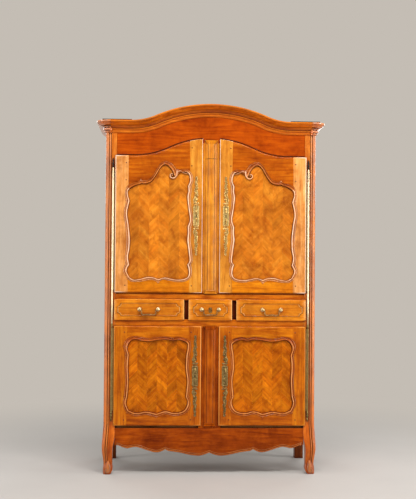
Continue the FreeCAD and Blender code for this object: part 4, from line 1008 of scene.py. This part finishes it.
def escutcheon(name, level, sign):
    """The pierced brass mount of a door's lock, and the keyhole in it."""
    base, keyhole = LIP_FRONT, DOORS[level]["keyhole"]
    shell = bmesh.new()

    def at(points, flip=1):
        return [(sign * (LOCK_LINE - u * MM), keyhole + flip * v * MM) for u, v in points]

    add_prism(shell, at(PLATE), base - 0.0014, base + 0.0006)
    for edge in (-FRAME_EDGE, FRAME_EDGE):
        path = at([(edge, v) for v in range(-FRAME_END, FRAME_END + 1, 4)])
        relief(shell, path, 0.0026, 0.0042, base)
    for low, high in RIBS:
        relief(shell, at([(0, v) for v in range(low, high + 1, 2)]), swell(0.0050, 0.0095),
               swell(0.0020, 0.0044), base, 8)
    for v, radius, height in STUDS:
        for place in at([(0, v), (0, -v)]):
            dome(shell, place, radius, height, base)
    relief(shell, at(spiral((0, 0), 9.0, 0, 360, 1.0, 24)), 0.0018, 0.0040, base)
    for flip, reach in zip((1, -1), CREST[level]):
        scale = (reach - SCROLLS_START) / SCROLLS_REACH

        def lift(points):
            return [(u, SCROLLS_START + (v - SCROLLS_START) * scale) for u, v in points]

        for v, half, thick in COLLARS:
            path = at([(u, v) for u in (-half, -half / 2, 0, half / 2, half)], flip)
            relief(shell, path, thick * MM * 0.75, swell(0.0030, 0.0052), base, 8)
        for u, v, radius, start, sweep, width in CURLS:
            curl = at(lift([(u, v), *spiral((u, v), radius, start, sweep)]), flip)
            relief(shell, curl[1:], taper(width * MM * 0.9, width * MM * 0.45),
                   taper(0.0042, 0.0052), base)
            dome(shell, curl[0], radius * MM * 0.32, 0.0056, base, 3, 10)
        stem = at(smooth_span(lift(STEM), 4.0), flip)
        relief(shell, stem, taper(0.0048, 0.0022), 0.0036, base)
        relief(shell, at(spiral((3, reach - 8), 6.5, 200, -290, 0.3, 12), flip),
               taper(0.0026, 0.0018), 0.0044, base)
    make(shell, f"{name}_escutcheon_mount", name,
         ["pale_brass" if level == "upper" else "dull_brass"], 50.0, f"{name}_escutcheon")
    # The keyhole as a dark boss and slot on the plate, painted shade for the hole.
    shell = bmesh.new()
    dome(shell, at([(0, 2.0)])[0], 0.0052, 0.0020, base, 2, 16)
    add_prism(shell, at(KEY_SLOT), base - 0.0018, base - 0.0004)
    make(shell, f"{name}_escutcheon_hole", name, ["keyhole_dark"])


# Posts, legs and the middle posts

POST_INNER, BODY_HALF = 0.614, 0.688
POST_WIDTH, POST_DEPTH = 0.074, 0.070
POST_LEVELS, LEG_TOP, LEG_STEPS = (0.316, 0.9, 1.6, 2.2, 2.275), 0.315, 44
# Sections of a leg, from its foot up: share of its height, then how far it stands inwards,
# outwards and forwards of the post and how deep it is, in widths of the post.
LEG_SHARES = (
    (0.00, 0.34, -0.03, 0.16, 0.55), (0.09, 0.27, -0.03, 0.10, 0.66),
    (0.22, 0.20, -0.03, -0.04, 0.74), (0.51, 0.18, 0.12, 0.13, 0.90),
    (0.76, 0.00, 0.07, 0.06, 0.94), (1.00, 0.00, 0.00, 0.00, 0.94),
)
# The reeded outer half of a post, from its flat face round to its side: in from the outer
# edge, and back from the front.
REEDS = (
    (38.5, 0.0), (37.6, 3.2), (36.4, 4.4), (35.2, 3.2), (34.2, 0.9), (31.0, 0.0),
    (27.8, 0.7), (26.2, 3.0), (25.2, 6.2), (24.2, 6.8), (23.0, 5.2), (21.4, 2.4),
    (17.4, 1.2), (12.6, 2.6), (8.0, 5.6), (4.4, 9.8), (2.0, 14.2), (0.7, 18.6),
    (0.9, 21.6), (4.2, 23.4), (5.0, 24.6), (4.2, 25.8), (0.9, 27.4), (0.0, 30.6),
    (0.5, 34.0), (3.0, 35.6), (3.6, 36.6), (3.0, 37.6), (0.0, 39.0),
)
TOE_TOP, TOE_PEAK, TOE_IN, TOE_OUT = 0.066, 0.034, 0.008, 0.002
PAD_TURN = 0.72
TOE_PAD = ((0.653, 0.088), (0.655, 0.060), (0.657, 0.034), (0.658, 0.001))
TOE_SCROLL = ((0.650, 0.064), (0.643, 0.046), (0.644, 0.026), (0.652, 0.013), (0.664, 0.012),
              (0.672, 0.021), (0.670, 0.032), (0.662, 0.035), (0.658, 0.029))


def leg_row(height):
    """The leg's own section at a height, smoothed between the set sections."""
    share, rows = height / LEG_TOP, LEG_SHARES
    index = 0
    while index < len(rows) - 2 and rows[index + 1][0] < share:
        index += 1
    before, a, b = rows[max(index - 1, 0)], rows[index], rows[index + 1]
    after = rows[min(index + 2, len(rows) - 1)]
    wide = b[0] - a[0]
    t = (share - a[0]) / wide
    values = []
    for column in range(1, 5):
        slope_a = (b[column] - before[column]) / max(b[0] - before[0], TINY) * wide
        slope_b = (after[column] - a[column]) / max(after[0] - a[0], TINY) * wide
        values.append(
            (2 * t ** 3 - 3 * t ** 2 + 1) * a[column] + (t ** 3 - 2 * t ** 2 + t) * slope_a
            + (-2 * t ** 3 + 3 * t ** 2) * b[column] + (t ** 3 - t ** 2) * slope_b
        )
    return values


def post_loop(inner, outer, front, back, height, sign):
    """A post's outline at one height; the reeds keep their share of its width."""
    scale = min((outer - inner) / POST_WIDTH, 1.0)
    loop = [(inner, back), (inner, front + 0.002), (inner + 0.002, front)]
    loop += [(outer - a * MM * scale, front + b * MM * scale) for a, b in REEDS]
    return [(sign * x, y, height) for x, y in (*loop, (outer, back))]


def front_post(side, sign):
    """A reeded post with its leg, and the pad and scroll carved on its toe."""
    name = f"post_front_{side}"
    shell = bmesh.new()
    rows = []
    for height in (LEG_TOP * step / LEG_STEPS for step in range(LEG_STEPS + 1)):
        inward, outward, forward, rear = leg_row(height)
        spread = min(max((TOE_TOP - height) / (TOE_TOP - TOE_PEAK), 0.0), 1.0)
        spread = spread * spread * (3 - 2 * spread)
        spread -= 1.3 * (max(TOE_PEAK - height, 0.0) / TOE_PEAK) ** 2
        inward -= spread * TOE_IN / POST_WIDTH
        outward += spread * TOE_OUT / POST_WIDTH
        rows.append(post_loop(
            POST_INNER + inward * POST_WIDTH, BODY_HALF + outward * POST_WIDTH,
            FRONT - forward * POST_WIDTH, FRONT + rear * POST_WIDTH, height, sign,
        ))
    for height in POST_LEVELS:
        rows.append(post_loop(POST_INNER, BODY_HALF, FRONT, FRONT + POST_DEPTH, height, sign))
    # Dirt and painted shade in the grooves between the reeds, wear and painted highlight on the
    # reeds.
    reeds = hollow_and_ridge_marks([(-a, -b) for a, b in REEDS], 0.7, 0.5)
    skin(shell, rows, [[(0.0, 0.0)] * 3 + reeds + [(0.0, 0.0)]] * len(rows))
    make(shell, f"{name}_reeded", "carcass", ["post"], 40.0, name)
    shell = bmesh.new()
    carve(shell, TOE_PAD, sign, swell(0.004, 0.025, PAD_TURN),
          swell(0.002, 0.0136, PAD_TURN), FRONT + 0.001, 12)
    carve(shell, TOE_SCROLL, sign, taper(0.0036, 0.0030), taper(0.0040, 0.0066),
          FRONT - 0.0072, material=1)
    make(shell, f"{name}_toe", "carcass", ["post", "toe"], 60.0)


# A middle post's raised strip from its middle outwards: distance from the middle, and
# height above the post's face; and its cap, from the strip's end on.
STRIP_SECTION = ((0.0, 8.0), (18.5, 8.0), (19.6, 7.2), (20.2, 5.0), (21.4, 4.8), (22.6, 6.6),
                 (25.0, 6.4), (33.0, 3.4), (36.0, 2.8), (37.0, 1.4), (43.0, 1.2), (44.5, 0.0))
CAP_SECTION = ((0.0, 8.5), (3.0, 10.4), (6.5, 10.8), (9.0, 8.2), (11.5, 8.6), (17.0, 10.8),
               (22.0, 10.9), (23.5, 7.0))
CAP_LENGTH, CAP_HALF, CAP_FLARE = 23.5, 0.0295, 0.0115
MIDDLE_HALF, MIDDLE_BACK = 0.072, -0.221
MORTISE_HALF, MORTISE_END = 0.013, 0.067
MORTISE_FRONT, MORTISE_BACK = -0.243, -0.233
# Foot and top of a post, low and high end of its strip, and the ends of a gap in it.
MIDDLE_POSTS = {"upper": (1.185, 2.150, 1.168, 2.171, (2.0475, 2.0505)),
                "lower": (0.296, 0.948, 0.308, 0.958, ())}


def middle_post(level, bottom, top, low, high, cuts):
    """A post between two doors, with caps on its strip and a mortise for each bolt."""
    shell = bmesh.new()
    half = MIDDLE_HALF
    low_cut, high_cut = (DOORS[level]["keyhole"] + way * MORTISE_HALF for way in (-1, 1))
    right = [(half, low_cut), (MORTISE_END, low_cut), (MORTISE_END, high_cut), (half, high_cut)]
    left = turned(reversed(right), -1)
    plain = [(-half, bottom), (half, bottom), (half, top), (-half, top)]
    add_prism(shell, plain, FRONT, MORTISE_FRONT)
    add_prism(shell, plain[:2] + right + plain[2:] + left, MORTISE_FRONT, MORTISE_BACK)
    add_prism(shell, plain, MORTISE_BACK, MIDDLE_BACK)
    section = turned(reversed(STRIP_SECTION), -1) + list(STRIP_SECTION[1:])
    # Dirt and painted shade in the strip's hollows, wear and painted highlight on its ridges.
    worn = hollow_and_ridge_marks(STRIP_SECTION, 1.0, 0.35)
    worn = worn[::-1] + worn[1:]
    ends = [low, *cuts, high]
    for span in zip(ends[::2], ends[1::2]):
        rows = [[(a * MM, FRONT - b * MM, z) for a, b in section] for z in span]
        skin(shell, rows, [worn] * 2)
    for end, way in ((low, 1), (high, -1)):
        rows = []
        for share, proud in CAP_SECTION:
            z = end + way * (CAP_LENGTH - share) * MM
            wide = CAP_HALF + CAP_FLARE * share / CAP_LENGTH
            thick = FRONT - proud * MM
            edge = [(wide - MM, thick), (wide, thick + MM), (wide, FRONT)]
            edge = turned(reversed(edge), -1) + edge
            rows.append([(x, y, z) for x, y in edge])
        skin(shell, rows)
    make(shell, f"centre_post_{level}_strip", "carcass", [f"centre_{level}"],
         30.0, f"centre_post_{level}")


# Cornice. Sections from the top to the foot: share of the reach, share of the height.

CORNICE_TOP = 2.290
# Rise, half width and radius of the crest, and a hair's room under the CAD's own top.
CORNICE_WAVE = (0.110, 0.520, 0.900)
CORNICE_ROOM = 0.0002
CORNICE_HEIGHT, CORNICE_REACH, POST_ROUND = 0.078, 0.060, 0.032
CORNICE_SECTION = (
    (0.0, 1.0), (1.0, 1.0), (1.0, 0.90), (0.975, 0.875), (0.93, 0.865), (0.925, 0.835),
    (0.84, 0.80), (0.74, 0.73), (0.62, 0.665), (0.50, 0.625), (0.40, 0.60), (0.385, 0.565),
    (0.34, 0.54), (0.27, 0.49), (0.22, 0.42), (0.195, 0.36), (0.25, 0.335), (0.275, 0.30),
    (0.25, 0.265), (0.19, 0.24), (0.175, 0.20), (0.155, 0.12), (0.11, 0.05), (0.0, 0.0),
)
CORNER_SECTION = (
    (0.0, 1.0), (1.0, 1.0), (1.0, 0.92), (0.97, 0.885), (0.90, 0.87), (0.80, 0.80),
    (0.66, 0.715), (0.50, 0.66), (0.34, 0.625), (0.25, 0.585), (0.31, 0.555), (0.335, 0.52),
    (0.31, 0.485), (0.22, 0.46), (0.20, 0.425), (0.30, 0.385), (0.335, 0.33), (0.32, 0.275),
    (0.24, 0.225), (0.15, 0.195), (0.13, 0.165), (0.20, 0.135), (0.205, 0.10), (0.13, 0.07),
    (0.07, 0.05), (0.0, 0.0),
)
# The little capital over the inner reed of each post: radius and height.
REED_CAPITAL = (
    (4.0, 0.0), (5.0, 0.8), (5.4, 2.4), (5.0, 4.0), (4.2, 5.0), (4.6, 7.0), (6.6, 10.5),
    (8.0, 15.0), (8.4, 19.5), (7.6, 24.0), (5.4, 27.5), (4.4, 29.0), (5.6, 31.0),
    (6.8, 34.0), (5.6, 37.0), (4.6, 38.5), (5.4, 41.0), (7.6, 44.5),
)
CAPITAL_PLACE = (0.6565, -0.2765, 2.212)


def cornice_skin(shell, section, stations, wear_and_highlight):
    """A cornice section set up at places, each with its way out and its way up."""
    rows = [
        [base + out * (reach * CORNICE_REACH) - up * ((1 - height) * CORNICE_HEIGHT)
         for reach, height in section]
        for base, out, up in stations
    ]
    scaled = [(reach * CORNICE_REACH / MM, height * CORNICE_HEIGHT / MM)
              for reach, height in section]
    # Dirt and painted shade in the section's hollows, wear and painted highlight on its ridges.
    skin(shell, rows, [hollow_and_ridge_marks(scaled, 0.8, wear_and_highlight)] * len(rows))


def cornice():
    """The front moulding, and the rounded corners with the returns along the sides."""
    end, steps = BODY_HALF - POST_ROUND, 90
    line = []
    for x in (-end + 2 * end * step / steps for step in range(steps + 1)):
        height = wave_height(x, CORNICE_TOP, *CORNICE_WAVE) - CORNICE_ROOM
        line.append(Vector((x, height)))
    stations = []
    for index, point in enumerate(line):
        along = heading(line, index) if 0 < index < steps else Vector((1, 0))
        stations.append((Vector((point.x, FRONT, point.y)), Vector((0, -1, 0)),
                         Vector((-along.y, 0, along.x))))
    shell = bmesh.new()
    cornice_skin(shell, CORNICE_SECTION, stations, 0.4)
    make(shell, "cornice_front_moulding", "carcass", ["cornice"], 34.0,
         "cornice_front")
    shell = bmesh.new()
    up = Vector((0, 0, 1))
    turns = 22
    for side, sign in SIDES:
        stations = []
        for angle in (math.radians(90 * step / turns) for step in range(turns + 1)):
            out = Vector((sign * math.sin(angle), -math.cos(angle), 0))
            axis = Vector((sign * end, FRONT + POST_ROUND, CORNICE_TOP))
            stations.append((axis + out * POST_ROUND, out, up))
        cornice_skin(shell, CORNER_SECTION, stations, 0.5)
        stations = [(Vector((sign * BODY_HALF, y, CORNICE_TOP)), Vector((sign, 0, 0)), up)
                    for y in (FRONT + POST_ROUND, REAR)]
        cornice_skin(shell, CORNICE_SECTION, stations, 0.5)
        x, y, z = CAPITAL_PLACE
        lathe(shell, in_metres(REED_CAPITAL), (sign * x, y, z), "z", 18)
    make(shell, "cornice_corners", "carcass", ["cornice_side"], 34.0,
         "cornice_sides")


# Apron: its lower edge in shares of its half width, from the post to the middle, and of
# its drop; and the beads along it, as distance from the edge, half width and height.

APRON_TOP, APRON_DROP, APRON_BACK = 0.296, 0.196, -0.237
APRON_SHARES = (
    ((0.0, 0.44), (0.03, 0.44), (0.055, 0.415), (0.085, 0.37), (0.135, 0.33)),
    ((0.135, 0.33), (0.175, 0.36), (0.225, 0.38), (0.28, 0.34), (0.355, 0.26), (0.42, 0.205),
     (0.465, 0.205), (0.505, 0.25), (0.535, 0.30)),
    ((0.535, 0.30), (0.57, 0.245), (0.615, 0.225), (0.69, 0.19), (0.765, 0.135),
     (0.83, 0.10), (0.895, 0.09), (0.95, 0.13), (1.0, 0.19)),
)
APRON_BEADS = ((0.0052, 0.0036, 0.0042), (0.0145, 0.0024, 0.0026))
APRON_CURL = (0.590, 0.193)


def apron():
    """The shaped board between the feet, with two beads and a curl at each end."""
    low = APRON_TOP - APRON_DROP
    edge = []
    for span in APRON_SHARES:
        points = [((a - 1) * POST_INNER, low + b * APRON_DROP) for a, b in span]
        edge = edge[:-1] + smooth_span(points, 0.006)
    edge = [tuple(point) for point in edge]
    edge += turned(reversed(edge[:-1]), -1)
    shell = bmesh.new()
    corners = [(POST_INNER, APRON_TOP), (-POST_INNER, APRON_TOP)]
    add_prism(shell, edge + corners, FRONT, APRON_BACK)
    for inset, width, proud in APRON_BEADS:
        relief(shell, [(x, z + inset) for x, z in edge[2:-2]], width, proud, FRONT, 5, 1)
    for side, sign in SIDES:
        curl = [(APRON_CURL[0] + a, APRON_CURL[1] + b)
                for a, b in in_metres(spiral((0, 0), 9, -60, 300, 0.4, 16))]
        relief(shell, turned(curl, sign), taper(0.0030, 0.0022), 0.0040, FRONT, 6, 1)
    make(shell, "apron_carved", "carcass", ["apron", "apron_bead"], 40.0,
         "apron")


# Drawer fronts, knobs and bails

DRAWER_LOW, DRAWER_HIGH = 0.995, 1.133
DRAWER_MIDDLE, DRAWER_HALF = (DRAWER_LOW + DRAWER_HIGH) / 2, (DRAWER_HIGH - DRAWER_LOW) / 2
DRAWER_TONGUE_LOW, DRAWER_TONGUE_HIGH, DRAWER_TONGUE_BACK = 1.0023, 1.1245, -0.247
# Ends of the front, its middle, distance of the knobs, width of the cut line, tongue.
DRAWERS = {
    "left": (-0.624, -0.170, -0.400, 0.120, 0.409, -0.614, -0.1785),
    "right": (0.170, 0.624, 0.400, 0.120, 0.409, 0.1785, 0.6125),
    "middle": (-0.1415, 0.1415, 0.0, 0.112, 0.225, -0.133, 0.133),
}
LINE_HEIGHT, LINE_POINTS, LINE_CORNER = 0.086, 96, 0.004
HANDLE_HEIGHT, EYE_DEPTH = 1.066, -0.292
# Inset and height over the lip's face, from the rim in and from the cut line in.
EDGE_ROUNDING = ((0.0, -4.2), (0.6, -2.2), (1.8, -0.8), (4.0, 0.0))
LINE_ROUNDING = ((0.0, 0.0), (0.5, -1.6), (1.4, -2.4), (2.3, -1.4), (3.2, 0.9), (4.4, 1.4),
                 (5.8, 0.9), (6.8, 0.0), (8.4, 0.0))
ROSE = ((13.0, 0.0), (13.0, 0.8), (12.0, 1.6), (10.4, 2.0), (9.4, 1.6), (8.2, 2.2),
        (6.2, 3.0), (4.2, 3.6), (4.0, 7.0), (4.6, 7.8), (7.0, 8.8), (9.4, 10.6), (10.8, 13.2),
        (10.8, 15.8), (9.4, 18.6), (6.8, 20.6), (3.6, 21.7), (0.4, 22.0))
BAIL_DROP, BAIL_CORNER, BAIL_EYE, BAIL_SPLAY = 0.034, 0.009, 0.0073, 0.0065
BAIL_KNOT = ((2.6, -6.0), (4.2, -3.0), (4.6, 0.0), (4.2, 3.0), (2.6, 6.0))


def cartouche(centre, width, inset=0.0):
    """A long frame with hollow, stepped corners, in equal steps from its right side on."""
    half, up, notch = width / 2 - inset, LINE_HEIGHT / 2 - inset, LINE_HEIGHT / 4
    points = []
    for right, above in ((1, 1), (-1, 1), (-1, -1), (1, -1)):
        corner = Vector((centre + right * half, DRAWER_MIDDLE + above * up))
        arc = []
        for angle in (math.pi / 2 * step / 8 for step in range(9)):
            dx, dy = notch * math.sin(angle), notch * math.cos(angle)
            arc.append(corner - Vector((right * dx, above * dy)))
        first = arc[0] + Vector((-right * LINE_CORNER, 0))
        last = arc[-1] + Vector((0, -above * LINE_CORNER))
        arc = [arc[0], first, *arc[1:-1], last, arc[-1]]
        points += arc if right * above > 0 else arc[::-1]
    return even(points + points[:1], LINE_POINTS)[:-1]


def drawer_front(name, low, high, centre, wide, tongue_low, tongue_high):
    """A front with a rounded rim and a cut line, and its tongue behind."""
    rim = []
    for point in cartouche(centre, wide):
        x_share = (point.x - centre) / (wide / 2)
        z_share = (point.y - DRAWER_MIDDLE) / (LINE_HEIGHT / 2)
        scale = max(abs(x_share), abs(z_share))
        x_half = (high - centre) if point.x > centre else (centre - low)
        rim.append((centre + x_share / scale * x_half,
                    DRAWER_MIDDLE + z_share / scale * DRAWER_HALF))
    rows = [[(x, LIP_BACK, z) for x, z in rim]]
    for inset, height in in_metres(EDGE_ROUNDING):
        rows.append([
            (min(max(x, low + inset), high - inset), LIP_FRONT - height,
             min(max(z, DRAWER_LOW + inset), DRAWER_HIGH - inset))
            for x, z in rim
        ])
    for inset, height in in_metres(LINE_ROUNDING):
        line = cartouche(centre, wide, inset)
        rows.append([(point.x, LIP_FRONT - height, point.y) for point in line])
    # Dirt and painted shade in the cut line, with a little wear and painted highlight.
    marks = [(0.0, 0.0)] * (len(EDGE_ROUNDING) + 1) + hollow_and_ridge_marks(LINE_ROUNDING, 1.3, 0.2)
    shell = bmesh.new()
    skin(shell, rows, [[pair] * LINE_POINTS for pair in marks], caps=False)
    bmesh.ops.holes_fill(shell, edges=shell.edges)
    bmesh.ops.triangulate(shell, faces=[face for face in shell.faces if len(face.verts) > 4])
    tongue = [(tongue_low, DRAWER_TONGUE_LOW), (tongue_high, DRAWER_TONGUE_LOW),
              (tongue_high, DRAWER_TONGUE_HIGH), (tongue_low, DRAWER_TONGUE_HIGH)]
    add_prism(shell, tongue, LIP_BACK, DRAWER_TONGUE_BACK)
    make(shell, f"drawer_{name}_front_board", f"drawer_{name}", ["drawer"],
         34.0, f"drawer_{name}_front")


def handle(name, centre, spacing):
    """Two knobs on their roses and the bail between them."""
    shell = bmesh.new()
    for way in (-1, 1):
        place = (centre + way * spacing / 2, LIP_FRONT, HANDLE_HEIGHT)
        lathe(shell, in_metres(ROSE), place, "y", 28)
    if name == "middle":
        shell_plate(shell, centre)
    make(shell, f"drawer_{name}_knobs", f"drawer_{name}",
         ["knob_brass", "bronze"], 50.0, f"drawer_{name}_handle_posts")
    shell = bmesh.new()
    start = spacing / 2 - BAIL_EYE
    leg, drop, corner = start - BAIL_SPLAY, BAIL_DROP, BAIL_CORNER
    half = smooth_span([
        (start + 0.004, 0), (start, 0.0002), (leg + 0.0022, 0.0018), (leg, 0.0065),
        (leg - 0.0006, 0.016), (leg + 0.0012, 0.0215), (leg, drop - corner),
        (leg - 0.0022, drop - 0.0028), (leg - corner, drop), (leg - 0.020, drop + 0.0008),
        (0.010, drop - 0.001),
    ], 0.0015)
    line = [*half, *turned(reversed(half), -1)]
    wire(shell, [(centre + x, EYE_DEPTH, HANDLE_HEIGHT - z) for x, z in line],
         swell(0.0027, 0.0042))
    lathe(shell, in_metres(BAIL_KNOT), (centre, EYE_DEPTH, HANDLE_HEIGHT - drop), "x", 14)
    make(shell, f"drawer_{name}_wire", f"drawer_{name}_bail", ["bronze"],
         60.0, f"drawer_{name}_bail")


# Lobes of the shell: number, first angle, angle between two, reach and how it varies.
LOBES, LOBE_START, LOBE_STEP, LOBE_REACH, LOBE_SWAY = 7, -150, 20, 0.0165, 0.003
SHELL_DROP, BOSS_LIFT, BOSS_RADIUS = 0.002, 0.004, 0.0095


def shell_plate(shell, centre):
    """A small shell over the lock of the middle drawer, with a keyhole boss."""
    x, z = centre, HANDLE_HEIGHT - SHELL_DROP
    for step in range(LOBES):
        angle = math.radians(LOBE_START + step * LOBE_STEP)
        reach = LOBE_REACH + LOBE_SWAY * math.cos(math.radians(step * 60 - 180))
        way = (reach * math.cos(angle), reach * math.sin(angle))
        points = [(x + way[0] * t / 5, z + way[1] * t / 5) for t in range(6)]
        relief(shell, points, taper(0.0012, 0.0036), taper(0.0042, 0.0030), LIP_FRONT, 6, 1)
    boss = (x, HANDLE_HEIGHT + BOSS_LIFT)
    dome(shell, boss, BOSS_RADIUS, 0.0050, LIP_FRONT, 4, 20, 1)
    rim = spiral(boss, BOSS_RADIUS, 0, 360, 1.0, 22)
    relief(shell, rim, 0.0017, 0.0046, LIP_FRONT, 6, 1)


# A dark strip on the frieze just over the doors, a painted shadow, and the hinge rods

SHADOW_LINE_LIFT, SHADOW_LINE_SHORT, SHADOW_LINE_HALF, SHADOW_LINE_PROUD = 0.0044, 0.012, 0.0048, 0.0009
ROD_X, ROD_Y, ROD_TOP, ROD_LOW, ROD_BEVEL = 0.638, -0.273, 1.984, 0.401, 0.0008
# Low and high end, radius and finish of each length of rod.
ROD_SPANS = ((1.9053, 1.984, 5.75, 1), (0.972, 1.1897, 5.75, 1), (0.9433, 0.972, 5.75, 2),
             (0.401, 0.4097, 5.75, 2), (1.1897, 1.9053, 3.0, 2), (0.4097, 0.9433, 3.0, 2))
ROD_BRACKETS, BRACKET_WIDE, BRACKET_TALL = (1.065, 1.9445), 0.008, 0.020
FINIAL = ((5.8, 0.0), (7.5, 2.5), (7.5, 7.0), (5.6, 10.0), (4.4, 12.0), (4.6, 14.0),
          (7.2, 19.0), (7.5, 24.0), (6.6, 30.0), (4.2, 36.0), (3.6, 39.0), (5.8, 43.0),
          (6.4, 46.5), (5.2, 50.0), (2.8, 53.5), (2.6, 55.0), (3.4, 58.0), (2.6, 61.5),
          (0.6, 64.0))


def rods():
    """Iron finials on top, bright brass beside the upper doors, dull brass below."""
    shell = bmesh.new()
    for side, sign in SIDES:
        x, y = sign * ROD_X, ROD_Y
        finial = in_metres(FINIAL)
        pieces = [([(radius, ROD_TOP + height) for radius, height in finial], 0)]
        for low, high, radius, slot in ROD_SPANS:
            radius *= MM
            pieces.append(([(radius * 0.9, low), (radius, low + ROD_BEVEL),
                            (radius, high - ROD_BEVEL), (radius * 0.9, high)], slot))
        pieces.append(([(radius, ROD_LOW - height) for radius, height in finial], 2))
        for profile, slot in pieces:
            lathe(shell, profile, (x, y, 0), "z", 20, slot)
        for z in ROD_BRACKETS:
            shape = [(x + a * BRACKET_WIDE, z + b * BRACKET_TALL)
                     for a, b in ((-1, -1), (1, -1), (1, 1), (-1, 1))]
            add_prism(shell, shape, y, FRONT)
    make(shell, "hinge_rods_turned", "carcass", ["iron", "rod_brass", "rod_dull"],
         40.0, "hinge_rods")


def shadow_line():
    """A low dark ridge in the corner over the doors' wave, a painted shadow."""
    shell = bmesh.new()
    reach = DOOR_OUTER - SHADOW_LINE_SHORT - DOOR_INNER
    for side, sign in SIDES:
        places = [DOOR_INNER + reach * step / 60 for step in range(61)]
        points = [(sign * x, door_top(x, DOORS["upper"]) + SHADOW_LINE_LIFT) for x in places]
        relief(shell, points, SHADOW_LINE_HALF, SHADOW_LINE_PROUD, FRONT, 3)
    make(shell, "frieze_shadow_line", "carcass", ["dark"])


# Camera, lights and stage

IMAGE_LONG, FOCAL_PIXELS, SENSOR = 499, 987.6, 36.0
CAMERA_PLACE = (-0.312, -6.697, 1.329)
CAMERA_YAW, CAMERA_PITCH, CAMERA_ROLL = map(math.radians, (2.62, 1.14, 0.43))
SKY_STRENGTH = 0.20
SKY = (1.0, 0.985, 0.96, 1.0)
WARM = (1.0, 0.985, 0.965)
BACKDROP = srgb((196, 189, 180))
FLOOR_SHADE = srgb((190, 187, 183))
FLOOR_NEAR, FLOOR_FAR, FLOOR_HALF = 1.2, 3.6, 40.0
MIDDLE, FACE = (0.0, 0.0, 1.2), (0.0, -0.27, 1.3)
# Broad soft lamps in front, narrow tall ones at the sides, weak ones behind: place, aim,
# width, height and power.
LAMPS = {
    "key": ((3.2, -4.3, 2.0), MIDDLE, 1.7, 3.4, 82),
    "fill": ((-3.5, -4.0, 1.9), MIDDLE, 1.5, 3.2, 42),
    "top": ((0.3, -2.9, 4.7), (0.0, 0.2, 0.6), 3.2, 1.0, 165),
    "side_right": ((3.7, -1.0, 1.5), FACE, 0.9, 2.8, 80),
    "side_left": ((-3.7, -1.0, 1.5), FACE, 0.9, 2.8, 55),
    "back_right": ((2.6, 4.0, 3.2), MIDDLE, 2.4, 2.4, 60),
    "back_left": ((-2.6, 4.0, 3.2), MIDDLE, 2.4, 2.4, 60),
}


def make_camera():
    """A camera where the photograph was taken from, found from the piece's own edges."""
    data = bpy.data.cameras.new("camera")
    data.sensor_width = SENSOR
    data.lens = SENSOR * FOCAL_PIXELS / IMAGE_LONG
    data.clip_end = 60.0
    camera = new_object("camera", data)
    matrix = Matrix.Translation(CAMERA_PLACE)
    for angle, axis in (
        (-CAMERA_YAW, "Z"), (math.pi / 2 + CAMERA_PITCH, "X"), (CAMERA_ROLL, "Z"),
    ):
        matrix = matrix @ Matrix.Rotation(angle, 4, axis)
    camera.matrix_world = matrix
    bpy.context.scene.camera = camera


def make_lights():
    for name, (place, aim, width, height, power) in LAMPS.items():
        data = bpy.data.lights.new(name, "AREA")
        data.shape = "RECTANGLE"
        data.size, data.size_y = width, height
        data.energy = power
        data.color = WARM
        lamp = new_object(name, data)
        lamp.location = place
        way = Vector(aim) - Vector(place)
        lamp.rotation_euler = way.to_track_quat("-Z", "Y").to_euler()


def seen(n):
    """One for what the camera, metal and gloss show, nought for what lights the piece."""
    rays = n.add("LightPath").outputs
    shown = n.math("MAXIMUM", rays["Is Camera Ray"], rays["Is Glossy Ray"])
    return n.math("MAXIMUM", shown, rays["Is Transmission Ray"])


def blend_out(n, output, factor, first, second):
    """Show a mix of two shaders in a tree."""
    both = n.add("MixShader", {0: factor, 1: first.outputs[0], 2: second.outputs[0]})
    n.put(n.tree.nodes[output].inputs["Surface"], both.outputs[0])


def make_world():
    """An even pale backdrop that lights the piece only weakly."""
    world = bpy.data.worlds.new("even")
    n = Nodes(world)
    sky = n.tree.nodes["Background"]
    sky.inputs["Color"].default_value = SKY
    sky.inputs["Strength"].default_value = SKY_STRENGTH
    backdrop = n.add("Background", {"Color": BACKDROP, "Strength": 1.0})
    blend_out(n, "World Output", seen(n), sky, backdrop)
    bpy.context.scene.world = world


def floor_material():
    """Pale paint round the piece, which passes into the backdrop further out."""
    n = Nodes(bpy.data.materials.new("pale_floor"))
    place = n.place()
    tint = n.ramp(n.noise(place, 1.4, 5.0, 0.6), (0.3, 0.96), (0.7, 1.02))
    n.finish(n.tint(1.0, FLOOR_SHADE, tint), 0.9)
    reach = n.add("VectorMath", {"Vector": place}, operation="LENGTH").outputs["Value"]
    span = {"Value": reach, "From Min": FLOOR_NEAR, "From Max": FLOOR_FAR}
    far = n.add("MapRange", span, interpolation_type="SMOOTHSTEP").outputs["Result"]
    glow = n.add("Emission", {"Color": BACKDROP, "Strength": 1.0})
    blend_out(n, "Material Output", n.math("MULTIPLY", far, seen(n)),
              n.tree.nodes["Principled BSDF"], glow)
    return n.owner


def make_stage():
    """A plain floor on all sides of the piece."""
    half = FLOOR_HALF
    corners = [(-half, -half, 0), (half, -half, 0), (half, half, 0), (-half, half, 0)]
    mesh = bpy.data.meshes.new("floor")
    mesh.from_pydata(corners, [], [(0, 1, 2, 3)])
    mesh.materials.append(floor_material())
    floor = new_object("floor", mesh)


for level in DOORS:
    for side, sign in SIDES:
        make_door(level, side, sign)
for side, sign in SIDES:
    front_post(side, sign)
for level, heights in MIDDLE_POSTS.items():
    middle_post(level, *heights)
cornice()
apron()
for name, (low, high, centre, spacing, wide, *tongue) in DRAWERS.items():
    drawer_front(name, low, high, centre, wide, *tongue)
    handle(name, centre, spacing)
rods()
shadow_line()
for level in DOORS:
    for side, sign in SIDES:
        escutcheon(f"door_{level}_{side}", level, sign)
        pegs(f"door_{level}_{side}", level, sign)

bpy.context.scene.view_settings.view_transform = "Standard"
make_camera()
make_lights()
make_world()
make_stage()
